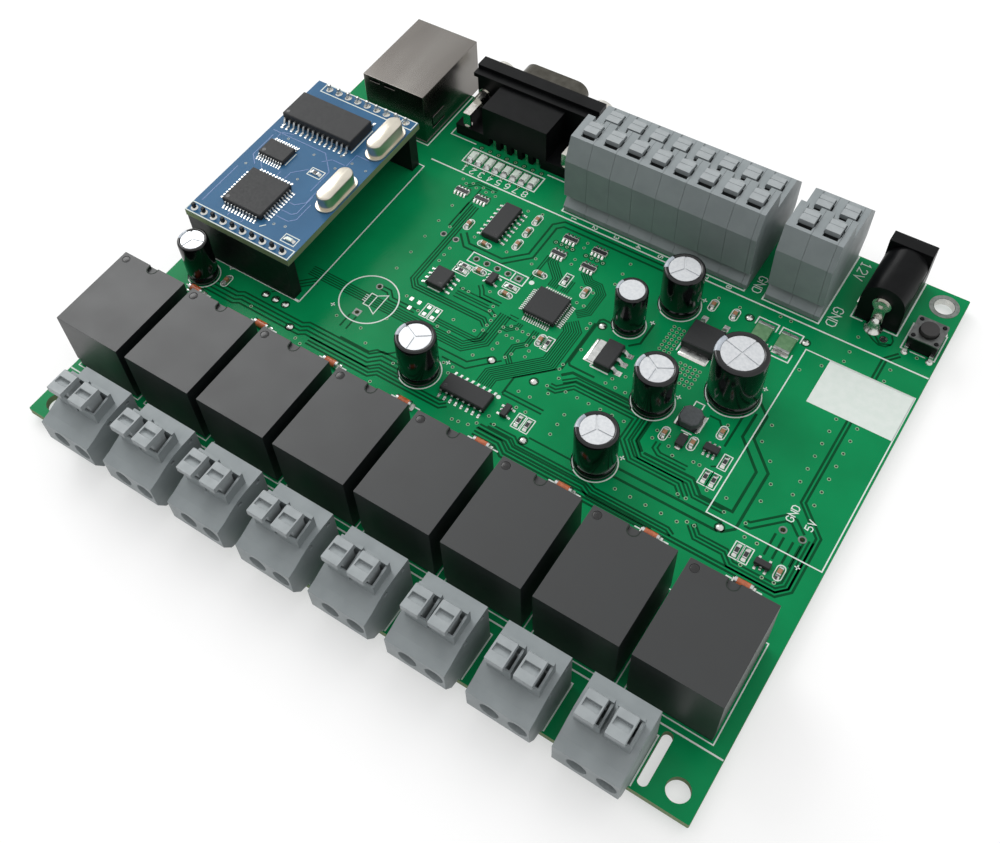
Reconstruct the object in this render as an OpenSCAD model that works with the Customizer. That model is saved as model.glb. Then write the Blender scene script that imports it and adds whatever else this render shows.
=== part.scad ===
// Eight-channel relay board: a green board with eight relays, a row of two-pole push-lever
// terminals, two-tier input and supply terminals, a network jack, a nine-way serial port, a power
// jack, a reset switch and a plug-on controller board. Lengths are in millimetres and +Z is up.
// The origin is the centre of the front-left mounting hole on the underside of the board.

/* [Boards] */
// Thickness of the main board and of the controller board
board_t = 1.6; // [1:0.1:2.4]
// Radius of the main board's corners
corner_r = 0.3; // [0.3:0.1:3]
// Diameter of the four corner mounting holes
hole_d = 4; // [3:0.1:5]
// Distance from the board's edges to the centres of the mounting holes
hole_inset = 3.75; // [3:0.05:6]
// Width of the milled isolation slot beside the last output terminal
slot_w = 1.8; // [1:0.1:3]
// Length of the milled isolation slot
slot_l = 9.7; // [5:0.1:12]

/* [Relays] */
// Width of one relay along the row
relay_w = 15.2; // [12:0.1:20]
// Depth of one relay
relay_d = 18.9; // [15:0.1:24]
// Height of one relay
relay_h = 15; // [10:0.1:20]
// Gap between neighbouring relays
relay_gap = 2.15; // [1:0.05:6]
// Board left of the first relay
relay_left = 1.35; // [1:0.05:10]
// Board right of the last relay
relay_right = 2.7; // [1:0.05:10]
// Distance from the board's front edge to the relays
relay_y = 12.95; // [12:0.05:20]

/* [Output terminals] */
// Distance between neighbouring poles of every push terminal
pole_pitch = 5.08; // [4.9:0.01:7.5]
// Side wall of an output terminal beside its first pole
end_wall = 1.25; // [0.8:0.05:3]
// Height of the flat top of an output terminal
output_h = 11.3; // [10.8:0.1:14]
// Depth of an output terminal behind the board's front edge
output_back = 9.1; // [8:0.1:12]
// Overhang of an output terminal over the board's front edge
output_overhang = 3.5; // [2:0.1:5]
// Board left of the first output terminal
output_left = 11.4; // [8.5:0.1:20]
// Board right of the last output terminal
output_right = 10.35; // [8.5:0.05:20]
// Width of a push lever
lever_w = 3.3; // [2.5:0.05:3.9]
// Length of a push lever from front to back
lever_l = 4.7; // [4.4:0.1:5.8]
// Height of a push lever's top over the board
lever_top = 17; // [16.6:0.1:21]
// How far a push lever is pressed down
lever_travel = 1.5; // [0.5:0.1:1.8]
// Diameter of a wire entry hole
wire_d = 3.5; // [2:0.1:3.6]

/* [Input terminals] */
// Thickness of the end plate that closes a row of input poles
end_plate = 1.1; // [0.8:0.1:3]
// Height of the upper tier
upper_h = 19.7; // [18.5:0.1:24]
// Height of the lower tier
lower_h = 15.3; // [14:0.1:16]
// Part of the input terminals' depth that stands on the board
input_on_board = 19.75; // [19:0.05:21]
// Width of a push tab
tab_w = 2.9; // [1.8:0.1:3.3]
// Length of a push tab
tab_l = 3.2; // [2.6:0.1:3.6]
// Height of a push tab's top over its tier
tab_rise = 0.7; // [0.2:0.1:1.5]
// How far a push tab is pressed down
tab_travel = 1.2; // [0.4:0.1:1.2]

/* [Connectors] */
// Board left of the network jack
jack_x = 9.3; // [6:0.1:15]
// Width of the network jack
jack_w = 15.8; // [15:0.1:20]
// Depth of the network jack
jack_d = 21.2; // [18:0.1:26]
// Height of the network jack
jack_h = 13.35; // [12:0.05:16]
// Thickness of the network jack's sheet-metal shield
shield_t = 0.4; // [0.2:0.05:0.6]
// Part of the network jack's depth that stands on the board
jack_on_board = 18.1; // [15:0.1:20]
// Gap between the network jack and the serial port's flange
jack_gap = 3.7; // [1:0.1:10]
// Width of the serial port's flange
flange_w = 30.4; // [30:0.1:38]
// Height of the serial port's flange
flange_h = 12.5; // [11:0.1:15]
// Distance between the serial port's two jack screws
screw_span = 24.99; // [24:0.01:30]
// Gap between the serial port's flange and the input terminals
serial_gap = 2; // [0.5:0.1:8]
// Gap between the input terminals and the supply terminals
input_gap = 3.9; // [1:0.1:10]
// Gap between the supply terminals and the power jack
power_gap = 5.1; // [2:0.1:10]
// Width of the power jack
power_w = 8.6; // [8:0.1:11]
// Height of the power jack's flange
power_h = 11; // [10.5:0.1:13]
// Diameter of the power jack's barrel opening
power_bore_d = 6.3; // [5:0.1:6.6]
// Diameter of the power jack's centre pin
power_pin_d = 2; // [1.5:0.1:2.6]
// Gap between the power jack and the reset switch
switch_gap = 2.2; // [1:0.1:8]
// Side length of the reset switch
switch_w = 5.9; // [5:0.1:8]
// Board right of the reset switch
switch_right = 0.85; // [0.5:0.05:10]
// Diameter of the reset button
button_d = 3.5; // [2.5:0.1:3.8]
// How far the reset button is pressed down
button_travel = 0.3; // [0.1:0.05:0.5]

/* [Controller board] */
// Distance from the relays to the controller board
daughter_gap = 15.95; // [14:0.05:24]
// Board left of the controller board
daughter_x = 1.7; // [1:0.1:8]
// Width of the controller board
daughter_w = 26.6; // [26.5:0.1:34]
// Depth of the controller board
daughter_d = 44.4; // [42:0.1:54]
// Height of the controller board's top over the main board
daughter_h = 12.55; // [12:0.05:15]
// Distance between neighbouring header pins
header_pitch = 2.54; // [2.5:0.01:2.6]
// Distance from the controller board to the network jack
daughter_to_jack = 6.05; // [3:0.05:12]

/* [Hidden] */
$fn = 48;
// Clearance between a fixed piece and the pocket that holds it
fit = 0.1;
// Clearance between a push piece and its well, all round and under it at full travel
slide = 0.15;
// Length added to a cut where it leaves a solid
over = 0.5;

// The board is as long as its longer row and as deep as its stack of zones
relay_step = relay_w + relay_gap;
relays_n = 8;
relay_row_l = relay_left + relays_n * relay_step - relay_gap + relay_right;
serial_x = jack_x + jack_w + jack_gap;
input_x = serial_x + flange_w + serial_gap;
input_poles = 8;
input_w = input_poles * pole_pitch + end_plate;
supply_x = input_x + input_w + input_gap;
supply_poles = 2;
supply_w = supply_poles * pole_pitch + end_plate;
power_x = supply_x + supply_w + power_gap;
switch_x = power_x + power_w + switch_gap;
rear_row_l = switch_x + switch_w + switch_right;
board_l = max(relay_row_l, rear_row_l);
field_y = relay_y + relay_d;
daughter_y = field_y + daughter_gap;
jack_y = daughter_y + daughter_d + daughter_to_jack;
board_d = jack_y + jack_on_board;
hole_xs = [hole_inset, board_l - hole_inset];
hole_ys = [hole_inset, board_d - hole_inset];

// Output terminals: poles are counted from 1 at the left, two in each terminal
outputs_n = 8;
output_poles = 2;
output_w = end_wall + output_poles * pole_pitch;
output_step = (board_l - output_left - output_right - output_w) / (outputs_n - 1);
nose_top = 9.1;
nose_bottom = 3.9;
lever_y = 0;
lever_cap = 1.35;
lever_bottom = 10.35;
neck_front = 1.7;
neck_margin = 0.4;
stem_l = 1.6;
stem_bottom = 5.6;
wire_z = 6.7;
wire_shift = 0.45;
wire_end = 2.6;
contact_w = 2.4;
contact_top = 3.6;
contact_t = 0.7;
contact_legs = [1.1, 6.1];
// Raised collar round a lever: its front, back and wall, and the heights of its rim and back wall
collar_front = 1.25;
collar_wall = 0.4;
collar_rim = [13.2, 13.9];
collar_back_top = 14.4;
output_profile = [
    [-output_overhang, nose_bottom],
    [-output_overhang, nose_top],
    [-1.5, nose_top + 0.5],
    [0.6, output_h - 0.85],
    [2.7, output_h - 0.2],
    [5.6, output_h],
    [output_back, output_h],
    [output_back, 0],
    [fit, 0],
    [fit, 0.9],
    [-0.6 * output_overhang, 1.6]
];

// Input terminals: distances along Y are measured from their front face
input_y = board_d - input_on_board;
front_lean = 2.3;
step_y = 9.2;
lower_back = 17.7;
input_d = 21.6;
input_profile = [
    [0.2, 0],
    [0, 1.5],
    [2, 3.9],
    [0.2, 4.6],
    [0.2, 14.3],
    [front_lean, upper_h - 0.2],
    [step_y, upper_h],
    [step_y, lower_h],
    [lower_back, lower_h],
    [input_d, lower_h - 3.9],
    [input_d - 0.4, 5],
    [input_on_board - 0.4, 1.2],
    [input_on_board - 0.4, 0]
];
upper_tab_y = 4.1;
lower_tab_y = 13.15;
tab_cap = 2;
tab_stem = 4;
tab_stem_l = 1.2;
tab_x = pole_pitch - tab_w - 0.43;
front_slot = 1;
side_notch = 0.35;
// Seam between two neighbouring modules of an input terminal
seam = 0.05;
tier_wire_d = 3;
upper_wire_z = 16.9;
lower_wire_z = 8.2;
bar_w = 2;
bar_t = 0.7;
upper_bar_y = 6.2;
upper_bar_h = 14.3;
lower_bar_y = 14.2;
lower_bar_h = 6.2;

// Serial port
serial_mid = serial_x + flange_w / 2;
serial_y = board_d - 11.75;
serial_body_w = 16.1;
serial_body_h = flange_h - 1.8;
foot_h = 2.8;
flange_y = serial_y + 7.8;
flange_t = 4.8;
lip_l = 1.8;
lip_h = 1;
flange_cut = 1;
flange_back = flange_y + flange_t;
screw_z = flange_h / 2;
shell_l = 5.3;
shell_t = 0.4;
shell_top_w = 15.9;
shell_bottom_w = 13.2;
shell_height = 8.3;
shell_corner = 2.7;
recess_l = 4.5;
recess_h = 2.4;
serial_pitch = 2.77;
serial_rows = [0.6, 3.4];
rib_w = 1.1;
rib_l = 1.8;

// Power jack, measured from its front end
power_y = board_d - 14.7;
power_d = 14.2;
power_axis = 6.4;
power_barrel_r = power_w / 2 - 0.1;
power_flange_t = 2.8;

// Reset switch
switch_y = board_d - 16.9;
switch_base_h = 3.3;
switch_cover_t = 0.25;
button_top = 4.5;

// Controller board
header_near_y = daughter_y + 1.3;
header_far_y = daughter_y + daughter_d - 1.3;
header_near_x = daughter_x + 1.5;
header_far_x = daughter_x + 3.9;
near_pins = 10;
far_pins = 9;
pin_w = 0.64;
strip_w = 2.5;
strip_h = 2.5;
daughter_z = daughter_h - board_t;
socket_h = daughter_z - strip_h;
socket_bore = 0.8;
pin_end = 3;

// Bodies on the boards: centres are measured from the relays' back face and the board's left side
capacitors = [
    [7.15, 11.45, 6.3, 11],
    [59.1, 14.95, 8, 11],
    [97.5, 15.05, 8, 11],
    [87.6, 45.35, 6.3, 11],
    [100, 31.95, 8, 10.8],
    [93.6, 54.95, 8, 11],
    [111.8, 41.25, 10, 13]
];
buzzer_holes = [[40.2, 20.05], [40.2, 27.75]];
spare_header = [52.96, 44.05];
spare_header_n = 5;
supply_pads = [[131.5, 20.35], [135.05, 20.35]];

STATIC_NODES = [
    "main_board", "relays", "output_terminals", "output_contacts", "input_terminals",
    "input_contacts", "network_jack_shield", "network_jack_insert", "network_jack_contacts",
    "serial_housing", "serial_shell", "serial_metalwork", "power_jack_housing",
    "power_jack_contacts", "reset_switch", "daughter_board", "daughter_headers",
    "daughter_sockets", "daughter_parts", "electrolytic_capacitors", "board_chips",
    "surface_parts", "solder_joints"
];

// ---------- places ----------

// Moves from the board's front-left corner on its top face to the part's own origin
module place() {
    translate([-hole_inset, -hole_inset, board_t]) children();
}

function relay_x(k) = relay_left + k * relay_step;
function output_x(k) = output_left + k * output_step;
// Left side of a lever, measured from the left side of its terminal
function lever_x(p) = end_wall + p * pole_pitch + slide;
function wire_x(p) = end_wall + (p + 0.5) * pole_pitch + wire_shift;
function tier_h(upper) = upper ? upper_h : lower_h;
function tab_y(upper) = upper ? upper_tab_y : lower_tab_y;

// An outline in the YZ plane, drawn out along +X
module slab_x(width, outline) {
    rotate([90, 0, 90]) linear_extrude(width) polygon(outline);
}

// ---------- boards ----------

module rounded_plate(l, d, r) {
    translate([r, 0]) square([l - 2 * r, d]);
    translate([0, r]) square([l, d - 2 * r]);
    for (x = [r, l - r], y = [r, d - r]) translate([x, y]) circle(r);
}

// Plated holes that no part is soldered into: spare header, buzzer and supply pads
module spare_holes() {
    for (k = [0 : spare_header_n - 1])
        translate([spare_header[0] + k * header_pitch, field_y + spare_header[1]]) circle(0.5);
    for (p = concat(buzzer_holes, supply_pads)) translate([p[0], field_y + p[1]]) circle(0.5);
}

module isolation_slot() {
    slot_x = board_l - output_right + 1.45;
    slot_front = 1.2 + slot_w / 2;
    slot_back = 1.2 + slot_l - slot_w / 2;
    for (y = [slot_front, slot_back]) translate([slot_x, y]) circle(slot_w / 2);
    translate([slot_x - slot_w / 2, slot_front]) square([slot_w, slot_back - slot_front]);
}

module main_board() {
    color("forestgreen") translate([0, 0, -board_t]) linear_extrude(board_t) difference() {
        rounded_plate(board_l, board_d, corner_r);
        for (x = hole_xs, y = hole_ys) translate([x, y]) circle(hole_d / 2);
        isolation_slot();
        spare_holes();
    }
}

module daughter_board() {
    color("royalblue") translate([daughter_x, daughter_y, daughter_z]) linear_extrude(board_t)
        difference() {
            square([daughter_w, daughter_d]);
            translate([-daughter_x, -daughter_y]) header_places() circle(pin_w * 0.8);
        }
}

// One child at every header pin of the controller board
module header_places() {
    for (k = [0 : near_pins - 1])
        translate([header_near_x + k * header_pitch, header_near_y]) children();
    for (k = [0 : far_pins - 1])
        translate([header_far_x + k * header_pitch, header_far_y]) children();
}

// A strip under or over each of the two rows of header pins
module header_strips(h) {
    extra = header_pitch / 2;
    translate([header_near_x - extra, header_near_y - strip_w / 2, 0])
        cube([near_pins * header_pitch, strip_w, h]);
    translate([header_far_x - extra, header_far_y - strip_w / 2, 0])
        cube([far_pins * header_pitch, strip_w, h]);
}

module daughter_headers() {
    color("dimgray") difference() {
        translate([0, 0, socket_h]) header_strips(strip_h);
        translate([0, 0, socket_h - over]) linear_extrude(strip_h + 2 * over)
            header_places() square(pin_w + 0.02, center = true);
    }
    color("gold") translate([0, 0, pin_end]) linear_extrude(daughter_h + 1.35 - pin_end)
        header_places() square(pin_w, center = true);
}

module daughter_sockets() {
    color("dimgray") difference() {
        header_strips(socket_h);
        translate([0, 0, pin_end - 0.3]) linear_extrude(socket_h)
            header_places() square(socket_bore, center = true);
    }
}

// ---------- relays ----------

module relay() {
    notch_w = 2.2;
    notch_d = 1.8;
    dimple_r = 0.8;
    base_h = 2.2;
    base_in = 0.15;
    difference() {
        union() {
            translate([base_in, base_in, 0]) cube([relay_w - 2 * base_in, relay_d - 2 * base_in, base_h]);
            translate([0, 0, base_h]) cube([relay_w, relay_d, relay_h - base_h]);
        }
        translate([relay_w / 2, relay_d - notch_d + notch_w / 2, relay_h - 0.5])
            cylinder(r = notch_w / 2, h = 1);
        translate([relay_w / 2 - notch_w / 2, relay_d - notch_d + notch_w / 2, relay_h - 0.5])
            cube([notch_w, notch_d, 1]);
        translate([1.4, relay_d - 1.4, relay_h - 0.25]) cylinder(r = dimple_r, h = 1);
    }
}

module relays() {
    color("dimgray") for (k = [0 : relays_n - 1]) translate([relay_x(k), relay_y, 0]) relay();
}

// ---------- output terminals ----------

// Raised collar round one lever, before its well is cut
module output_collar(p) {
    collar_back = lever_y + lever_l + 0.6;
    translate([lever_x(p) - slide - collar_wall, 0, 0]) slab_x(lever_w + 2 * (slide + collar_wall), [
        [collar_front, lever_bottom - lever_travel - 1],
        [collar_front, collar_rim[0]],
        [collar_back, collar_rim[1]],
        [collar_back, collar_back_top],
        [collar_back + 0.65, collar_back_top],
        [collar_back + 0.65, lever_bottom - lever_travel - 1]
    ]);
}

module output_housing() {
    lever_floor = lever_bottom - lever_travel - slide;
    stem_floor = stem_bottom - lever_travel - slide;
    well_w = lever_w + 2 * slide;
    well_y = lever_y + neck_front - slide;
    channel = neck_margin + slide;
    difference() {
        union() {
            slab_x(output_w, output_profile);
            for (p = [0 : output_poles - 1]) output_collar(p);
        }
        for (p = [0 : output_poles - 1]) {
            // Well of the lever's neck, with a channel on its right and a pocket at the channel's back
            translate([lever_x(p) - slide, well_y, lever_floor])
                cube([well_w - channel, lever_y + lever_l + slide - well_y, 20]);
            translate([lever_x(p) - slide, well_y, collar_rim[0] - 2.2])
                cube([well_w, lever_y + lever_l + 0.6 - well_y, 20]);
            translate([lever_x(p) + lever_w + slide - channel - 0.01, lever_y + lever_l - 1.2, lever_floor])
                cube([channel + 0.01, 1.8, 20]);
            // Deeper well of the stem
            translate([lever_x(p) - slide, lever_y + lever_l - stem_l - slide, stem_floor])
                cube([well_w - channel, stem_l + 2 * slide, 20]);
            // Wire entry
            translate([wire_x(p), -output_overhang - over, wire_z]) rotate([-90, 0, 0])
                cylinder(d = wire_d, h = output_overhang + over + wire_end);
            // Pocket of the contact, open at the bottom
            translate([wire_x(p) - contact_w / 2 - fit, contact_legs[0] - fit, -over])
                cube([contact_w + 2 * fit, contact_legs[1] - contact_legs[0] + contact_t + 2 * fit,
                      contact_top + fit + over]);
        }
        // Notches along the right side's top edge
        for (at = [[2.2, output_h - 1.9], [7, output_h - 1.5]])
            translate([output_w - 0.4, at[0], at[1]]) cube([1, 0.9, 0.8]);
    }
}

module output_terminals() {
    color("lightslategray") for (k = [0 : outputs_n - 1]) translate([output_x(k), 0, 0]) output_housing();
}

// A bar under the wire entry with two legs down to the board
module output_contact() {
    reach = contact_legs[1] - contact_legs[0];
    translate([-contact_w / 2, contact_legs[0], contact_top - contact_t])
        cube([contact_w, reach + contact_t, contact_t]);
    for (y = contact_legs) translate([-contact_w / 2, y, 0]) cube([contact_w, contact_t, contact_top]);
}

module output_contacts() {
    color("silver") for (k = [0 : outputs_n - 1], p = [0 : output_poles - 1])
        translate([output_x(k) + wire_x(p), 0, 0]) output_contact();
}

// The lever's cap overhangs the collar's front and has a sloping screwdriver recess across it. Its neck runs down
// into the well, and its stem is at the back
module push_lever() {
    neck_w = lever_w - neck_margin - slide;
    recess_front = 0.37 * lever_l;
    recess_back = 0.65 * lever_l;
    difference() {
        union() {
            translate([0, 0, lever_top - lever_cap]) cube([lever_w, lever_l, lever_cap]);
            translate([0, neck_front, lever_bottom]) cube([neck_w, lever_l - neck_front, lever_top - lever_bottom]);
            translate([0, lever_l - stem_l, stem_bottom]) cube([neck_w, stem_l, lever_top - stem_bottom]);
        }
        translate([0.35, 0, lever_top]) slab_x(lever_w - 0.6, [
            [recess_front, -0.3], [recess_front, 1], [recess_back, 1], [recess_back, -0.85]
        ]);
        // Chamfer along the back top edge
        translate([-over, lever_l, lever_top]) slab_x(lever_w + 2 * over, [
            [-0.25, 0.5], [-0.25, 0], [0, -0.25], [0.5, -0.25], [0.5, 0.5]
        ]);
    }
}

module output_lever(n) {
    k = floor((n - 1) / output_poles);
    p = (n - 1) % output_poles;
    color("lightsteelblue") translate([output_x(k) + lever_x(p), lever_y, 0]) push_lever();
}

// ---------- input and supply terminals ----------

// Everything that is cut for one push tab: its well, stem well, slots and wire entry
module tab_cuts(upper) {
    top = tier_h(upper) + tab_rise;
    y = tab_y(upper);
    cap_floor = top - tab_cap - tab_travel - slide;
    stem_floor = cap_floor - tab_stem;
    translate([tab_x - slide, y - slide, cap_floor]) cube([tab_w + 2 * slide, tab_l + 2 * slide, 20]);
    translate([tab_x - slide, y - slide, stem_floor])
        cube([tab_w + 2 * slide, tab_stem_l + 2 * slide, 20]);
    translate([tab_x, y - front_slot, top - 3]) cube([tab_w, front_slot, 20]);
    translate([tab_x + tab_w, y + 0.3, top - 3]) cube([side_notch, 1.6, 20]);
    // Hollow behind the tab, deeper towards the tier's back edge
    edge = upper ? step_y : lower_back;
    fall = upper ? 0.75 : 0.35;
    length = edge - y - tab_l - 0.4;
    translate([tab_x - 0.1, edge - length, tier_h(upper)]) slab_x(tab_w - 0.5, [
        [0, 0], [length + 0.8, -fall * (length + 0.8)], [length + 0.8, 2], [-1, 2]
    ]);
}

module tier_wire_holes() {
    x = tab_x + tab_w / 2;
    upper_in = upper_tab_y + tab_stem_l + slide + 0.1;
    lower_in = lower_tab_y + tab_stem_l + slide + 0.35;
    translate([x, upper_in, upper_wire_z]) rotate([-90, 0, 0])
        cylinder(d = tier_wire_d, h = step_y + over - upper_in);
    translate([x, lower_in, lower_wire_z]) rotate([-90, 0, 0])
        cylinder(d = tier_wire_d, h = input_d + over - lower_in);
}

// Module of one pole, with both tiers
module input_module() {
    bar_x = tab_x + (tab_w - bar_w) / 2;
    difference() {
        slab_x(pole_pitch - seam, input_profile);
        tab_cuts(true);
        tab_cuts(false);
        tier_wire_holes();
        translate([bar_x - fit, upper_bar_y - fit, -over])
            cube([bar_w + 2 * fit, bar_t + 2 * fit, upper_bar_h + fit + over]);
        translate([bar_x - fit, lower_bar_y - fit, -over])
            cube([bar_w + 2 * fit, bar_t + 2 * fit, lower_bar_h + fit + over]);
    }
}

module input_row(poles) {
    for (p = [0 : poles - 1]) translate([p * pole_pitch, 0, 0]) input_module();
    translate([poles * pole_pitch, 0, 0]) slab_x(end_plate, input_profile);
}

module input_terminals() {
    color("lightslategray") {
        translate([input_x, input_y, 0]) input_row(input_poles);
        translate([supply_x, input_y, 0]) input_row(supply_poles);
    }
}

// A current bar for each tier of a pole
module tier_bars() {
    bar_x = tab_x + (tab_w - bar_w) / 2;
    translate([bar_x, upper_bar_y, 0]) cube([bar_w, bar_t, upper_bar_h]);
    translate([bar_x, lower_bar_y, 0]) cube([bar_w, bar_t, lower_bar_h]);
}

module input_contacts() {
    color("silver") {
        for (p = [0 : input_poles - 1]) translate([input_x + p * pole_pitch, input_y, 0]) tier_bars();
        for (p = [0 : supply_poles - 1]) translate([supply_x + p * pole_pitch, input_y, 0]) tier_bars();
    }
}

// A push tab: a flat cap with a groove across it and a stem under its front
module push_tab(upper) {
    top = tier_h(upper) + tab_rise;
    translate([tab_x, tab_y(upper), 0]) difference() {
        union() {
            translate([0, 0, top - tab_cap]) cube([tab_w, tab_l, tab_cap]);
            translate([0, 0, top - tab_cap - tab_stem]) cube([tab_w, tab_stem_l, tab_stem + tab_cap]);
        }
        translate([-over, 0.55 * tab_l, top - 0.3]) cube([tab_w + 2 * over, 0.25, 2]);
        translate([-over, 0.55 * tab_l + 0.25 - over, top - 0.2]) cube([tab_w + 2 * over, tab_l, 2]);
    }
}

module input_tab(row_x, n, upper) {
    color("lightsteelblue") translate([row_x + (n - 1) * pole_pitch, input_y, 0]) push_tab(upper);
}

// ---------- network jack ----------

cavity_w = 11.8;
cavity_h = 7.2;
cavity_z = 3.2;
cavity_l = 14.5;
latch_w = 6;
latch_h = 1.6;
wire_w = 0.4;
wire_l = 10;

// The plug opening as seen from behind, with the latch groove under it
module jack_opening(l) {
    translate([jack_w / 2 - cavity_w / 2, jack_d - l, cavity_z]) cube([cavity_w, l + over, cavity_h]);
    translate([jack_w / 2 - latch_w / 2, jack_d - l, cavity_z - latch_h])
        cube([latch_w, l + over, latch_h + 0.1]);
}

module network_jack_shield() {
    color("silver") translate([jack_x, jack_y, 0]) difference() {
        cube([jack_w, jack_d, jack_h]);
        translate([shield_t, shield_t, -over])
            cube([jack_w - 2 * shield_t, jack_d - 2 * shield_t, jack_h - shield_t + over]);
        jack_opening(shield_t + over);
        // Two slots along the front top edge and the window of the side spring
        for (x = [1.6, 5.6]) translate([x, -over, jack_h - 1.3]) cube([2.6, over + 1, 0.6]);
        translate([jack_w - shield_t - over, 3, 2.5]) cube([shield_t + 2 * over, 4.2, 0.5]);
        translate([jack_w - shield_t - over, 3, 5.5]) cube([shield_t + 2 * over, 4.2, 0.5]);
        translate([jack_w - shield_t - over, 2.6, 2.5]) cube([shield_t + 2 * over, 0.4, 3.5]);
    }
}

module network_jack_insert() {
    wall = shield_t + fit;
    color("dimgray") translate([jack_x, jack_y, 0]) difference() {
        translate([wall, wall, 0]) cube([jack_w - 2 * wall, jack_d - 2 * wall, jack_h - wall]);
        jack_opening(cavity_l);
    }
}

// Eight spring wires along the roof of the plug opening
module network_jack_contacts() {
    color("gold") for (k = [0 : 7])
        translate([jack_x + jack_w / 2 + (k - 3.5) * 1.02 - wire_w / 2,
                   jack_y + jack_d - cavity_l, cavity_z + cavity_h - 0.5])
            cube([wire_w, wire_l, wire_w]);
}

// ---------- serial port ----------

// The D outline of the shell, wide at the top, shrunk by a wall all round
module shell_outline(shrink) {
    r = shell_corner;
    top_x = shell_top_w / 2 - r;
    bottom_x = shell_bottom_w / 2 - r;
    hull() for (side = [-1, 1]) {
        translate([side * top_x, shell_height / 2 - r]) circle(r - shrink, $fn = 32);
        translate([side * bottom_x, -shell_height / 2 + r]) circle(r - shrink, $fn = 32);
    }
}

module serial_housing() {
    cavity_w = 4 * serial_pitch + 2;
    color("dimgray") difference() {
        union() {
            translate([serial_mid - serial_body_w / 2, serial_y, 0])
                cube([serial_body_w, flange_y - serial_y, serial_body_h]);
            translate([serial_x, serial_y, 0]) cube([flange_w, flange_y - serial_y, foot_h]);
            translate([serial_x + flange_cut, flange_y, 0]) cube([flange_w - 2 * flange_cut, flange_t, flange_h]);
            translate([serial_x, flange_y, flange_h - 2 * lip_h]) cube([flange_w, flange_t, 2 * lip_h]);
        }
        // Lower front of the flange's top, cavity over the pins between ribs, holes for the screws
        translate([serial_x - over, flange_y - over, flange_h - lip_h])
            cube([flange_w + 2 * over, lip_l + over, lip_h + over]);
        difference() {
            translate([serial_mid - cavity_w / 2, serial_y - over, -over])
                cube([cavity_w, recess_l + over, recess_h + over]);
            for (k = [0 : 3]) translate([serial_mid + (k - 1.5) * serial_pitch - rib_w / 2, serial_y - 1, -1])
                cube([rib_w, rib_l + 1, recess_h + 2]);
        }
        for (side = [-1, 1]) translate([serial_mid + side * screw_span / 2, flange_y - over, screw_z])
            rotate([-90, 0, 0]) cylinder(d = 3.4, h = flange_t + 2 * over);
    }
    // Face of the connector inside the shell, with its nine contact holes
    color("dimgray") difference() {
        translate([serial_mid, flange_back, screw_z]) rotate([90, 0, 0])
            translate([0, 0, -shell_l + 0.3]) linear_extrude(shell_l - 0.3) shell_outline(shell_t + fit);
        for (row = [0, 1], k = [0 : 4 - row])
            translate([serial_mid + (k - 2 + row / 2) * serial_pitch, flange_back + 1,
                       screw_z + (row == 0 ? 1.42 : -1.42)])
                rotate([-90, 0, 0]) cylinder(d = 1.2, h = shell_l);
    }
}

module serial_shell() {
    color("silver") translate([serial_mid, flange_back + shell_l, screw_z]) rotate([90, 0, 0])
        linear_extrude(shell_l) difference() {
            shell_outline(0);
            shell_outline(shell_t);
        }
}

// Threaded screw through the flange, round nut behind it and strap bent down to the foot
module jack_screw() {
    thread_l = 3.1;
    nut_l = 4.2;
    strap_w = 1.8;
    strap_t = 0.5;
    strap_y = serial_y + 0.4;
    translate([0, flange_y - thread_l, screw_z]) rotate([-90, 0, 0]) cylinder(d = 2.6, h = thread_l + over);
    translate([0, flange_y, screw_z]) rotate([-90, 0, 0]) cylinder(d = 3.2, h = flange_t + 0.2);
    translate([0, flange_back + 0.1, screw_z]) rotate([-90, 0, 0]) cylinder(d = 5.2, h = nut_l);
    translate([-strap_w / 2, strap_y, screw_z - strap_t / 2])
        cube([strap_w, flange_y - thread_l + 0.3 - strap_y, strap_t]);
    translate([-strap_w / 2, strap_y, foot_h]) cube([strap_w, strap_t, screw_z - foot_h]);
    translate([0, strap_y + 0.6, foot_h]) cylinder(d = strap_w, h = 0.3);
}

module serial_metalwork() {
    color("silver") {
        for (side = [-1, 1]) translate([serial_mid + side * screw_span / 2, 0, 0]) jack_screw();
        for (row = [0, 1], k = [0 : 4 - row])
            translate([serial_mid + (k - 2 + row / 2) * serial_pitch - pin_w / 2,
                       serial_y + serial_rows[row], 0])
                cube([pin_w, pin_w, recess_h]);
    }
}

// ---------- power jack and reset switch ----------

module power_jack_housing() {
    mid = power_w / 2;
    color("dimgray") translate([power_x, power_y, 0]) difference() {
        union() {
            cube([power_w, power_d - power_flange_t, power_axis]);
            translate([mid, 0, power_axis]) rotate([-90, 0, 0]) cylinder(r = power_barrel_r, h = power_d - 1);
            translate([0, power_d - power_flange_t, 0]) cube([power_w, power_flange_t, power_h]);
        }
        translate([mid, power_d - 9.5, power_axis]) rotate([-90, 0, 0])
            cylinder(d = power_bore_d, h = 9.5 + over);
        translate([mid, -over, power_axis]) rotate([-90, 0, 0]) cylinder(d = power_pin_d + 0.1, h = power_d);
    }
}

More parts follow.
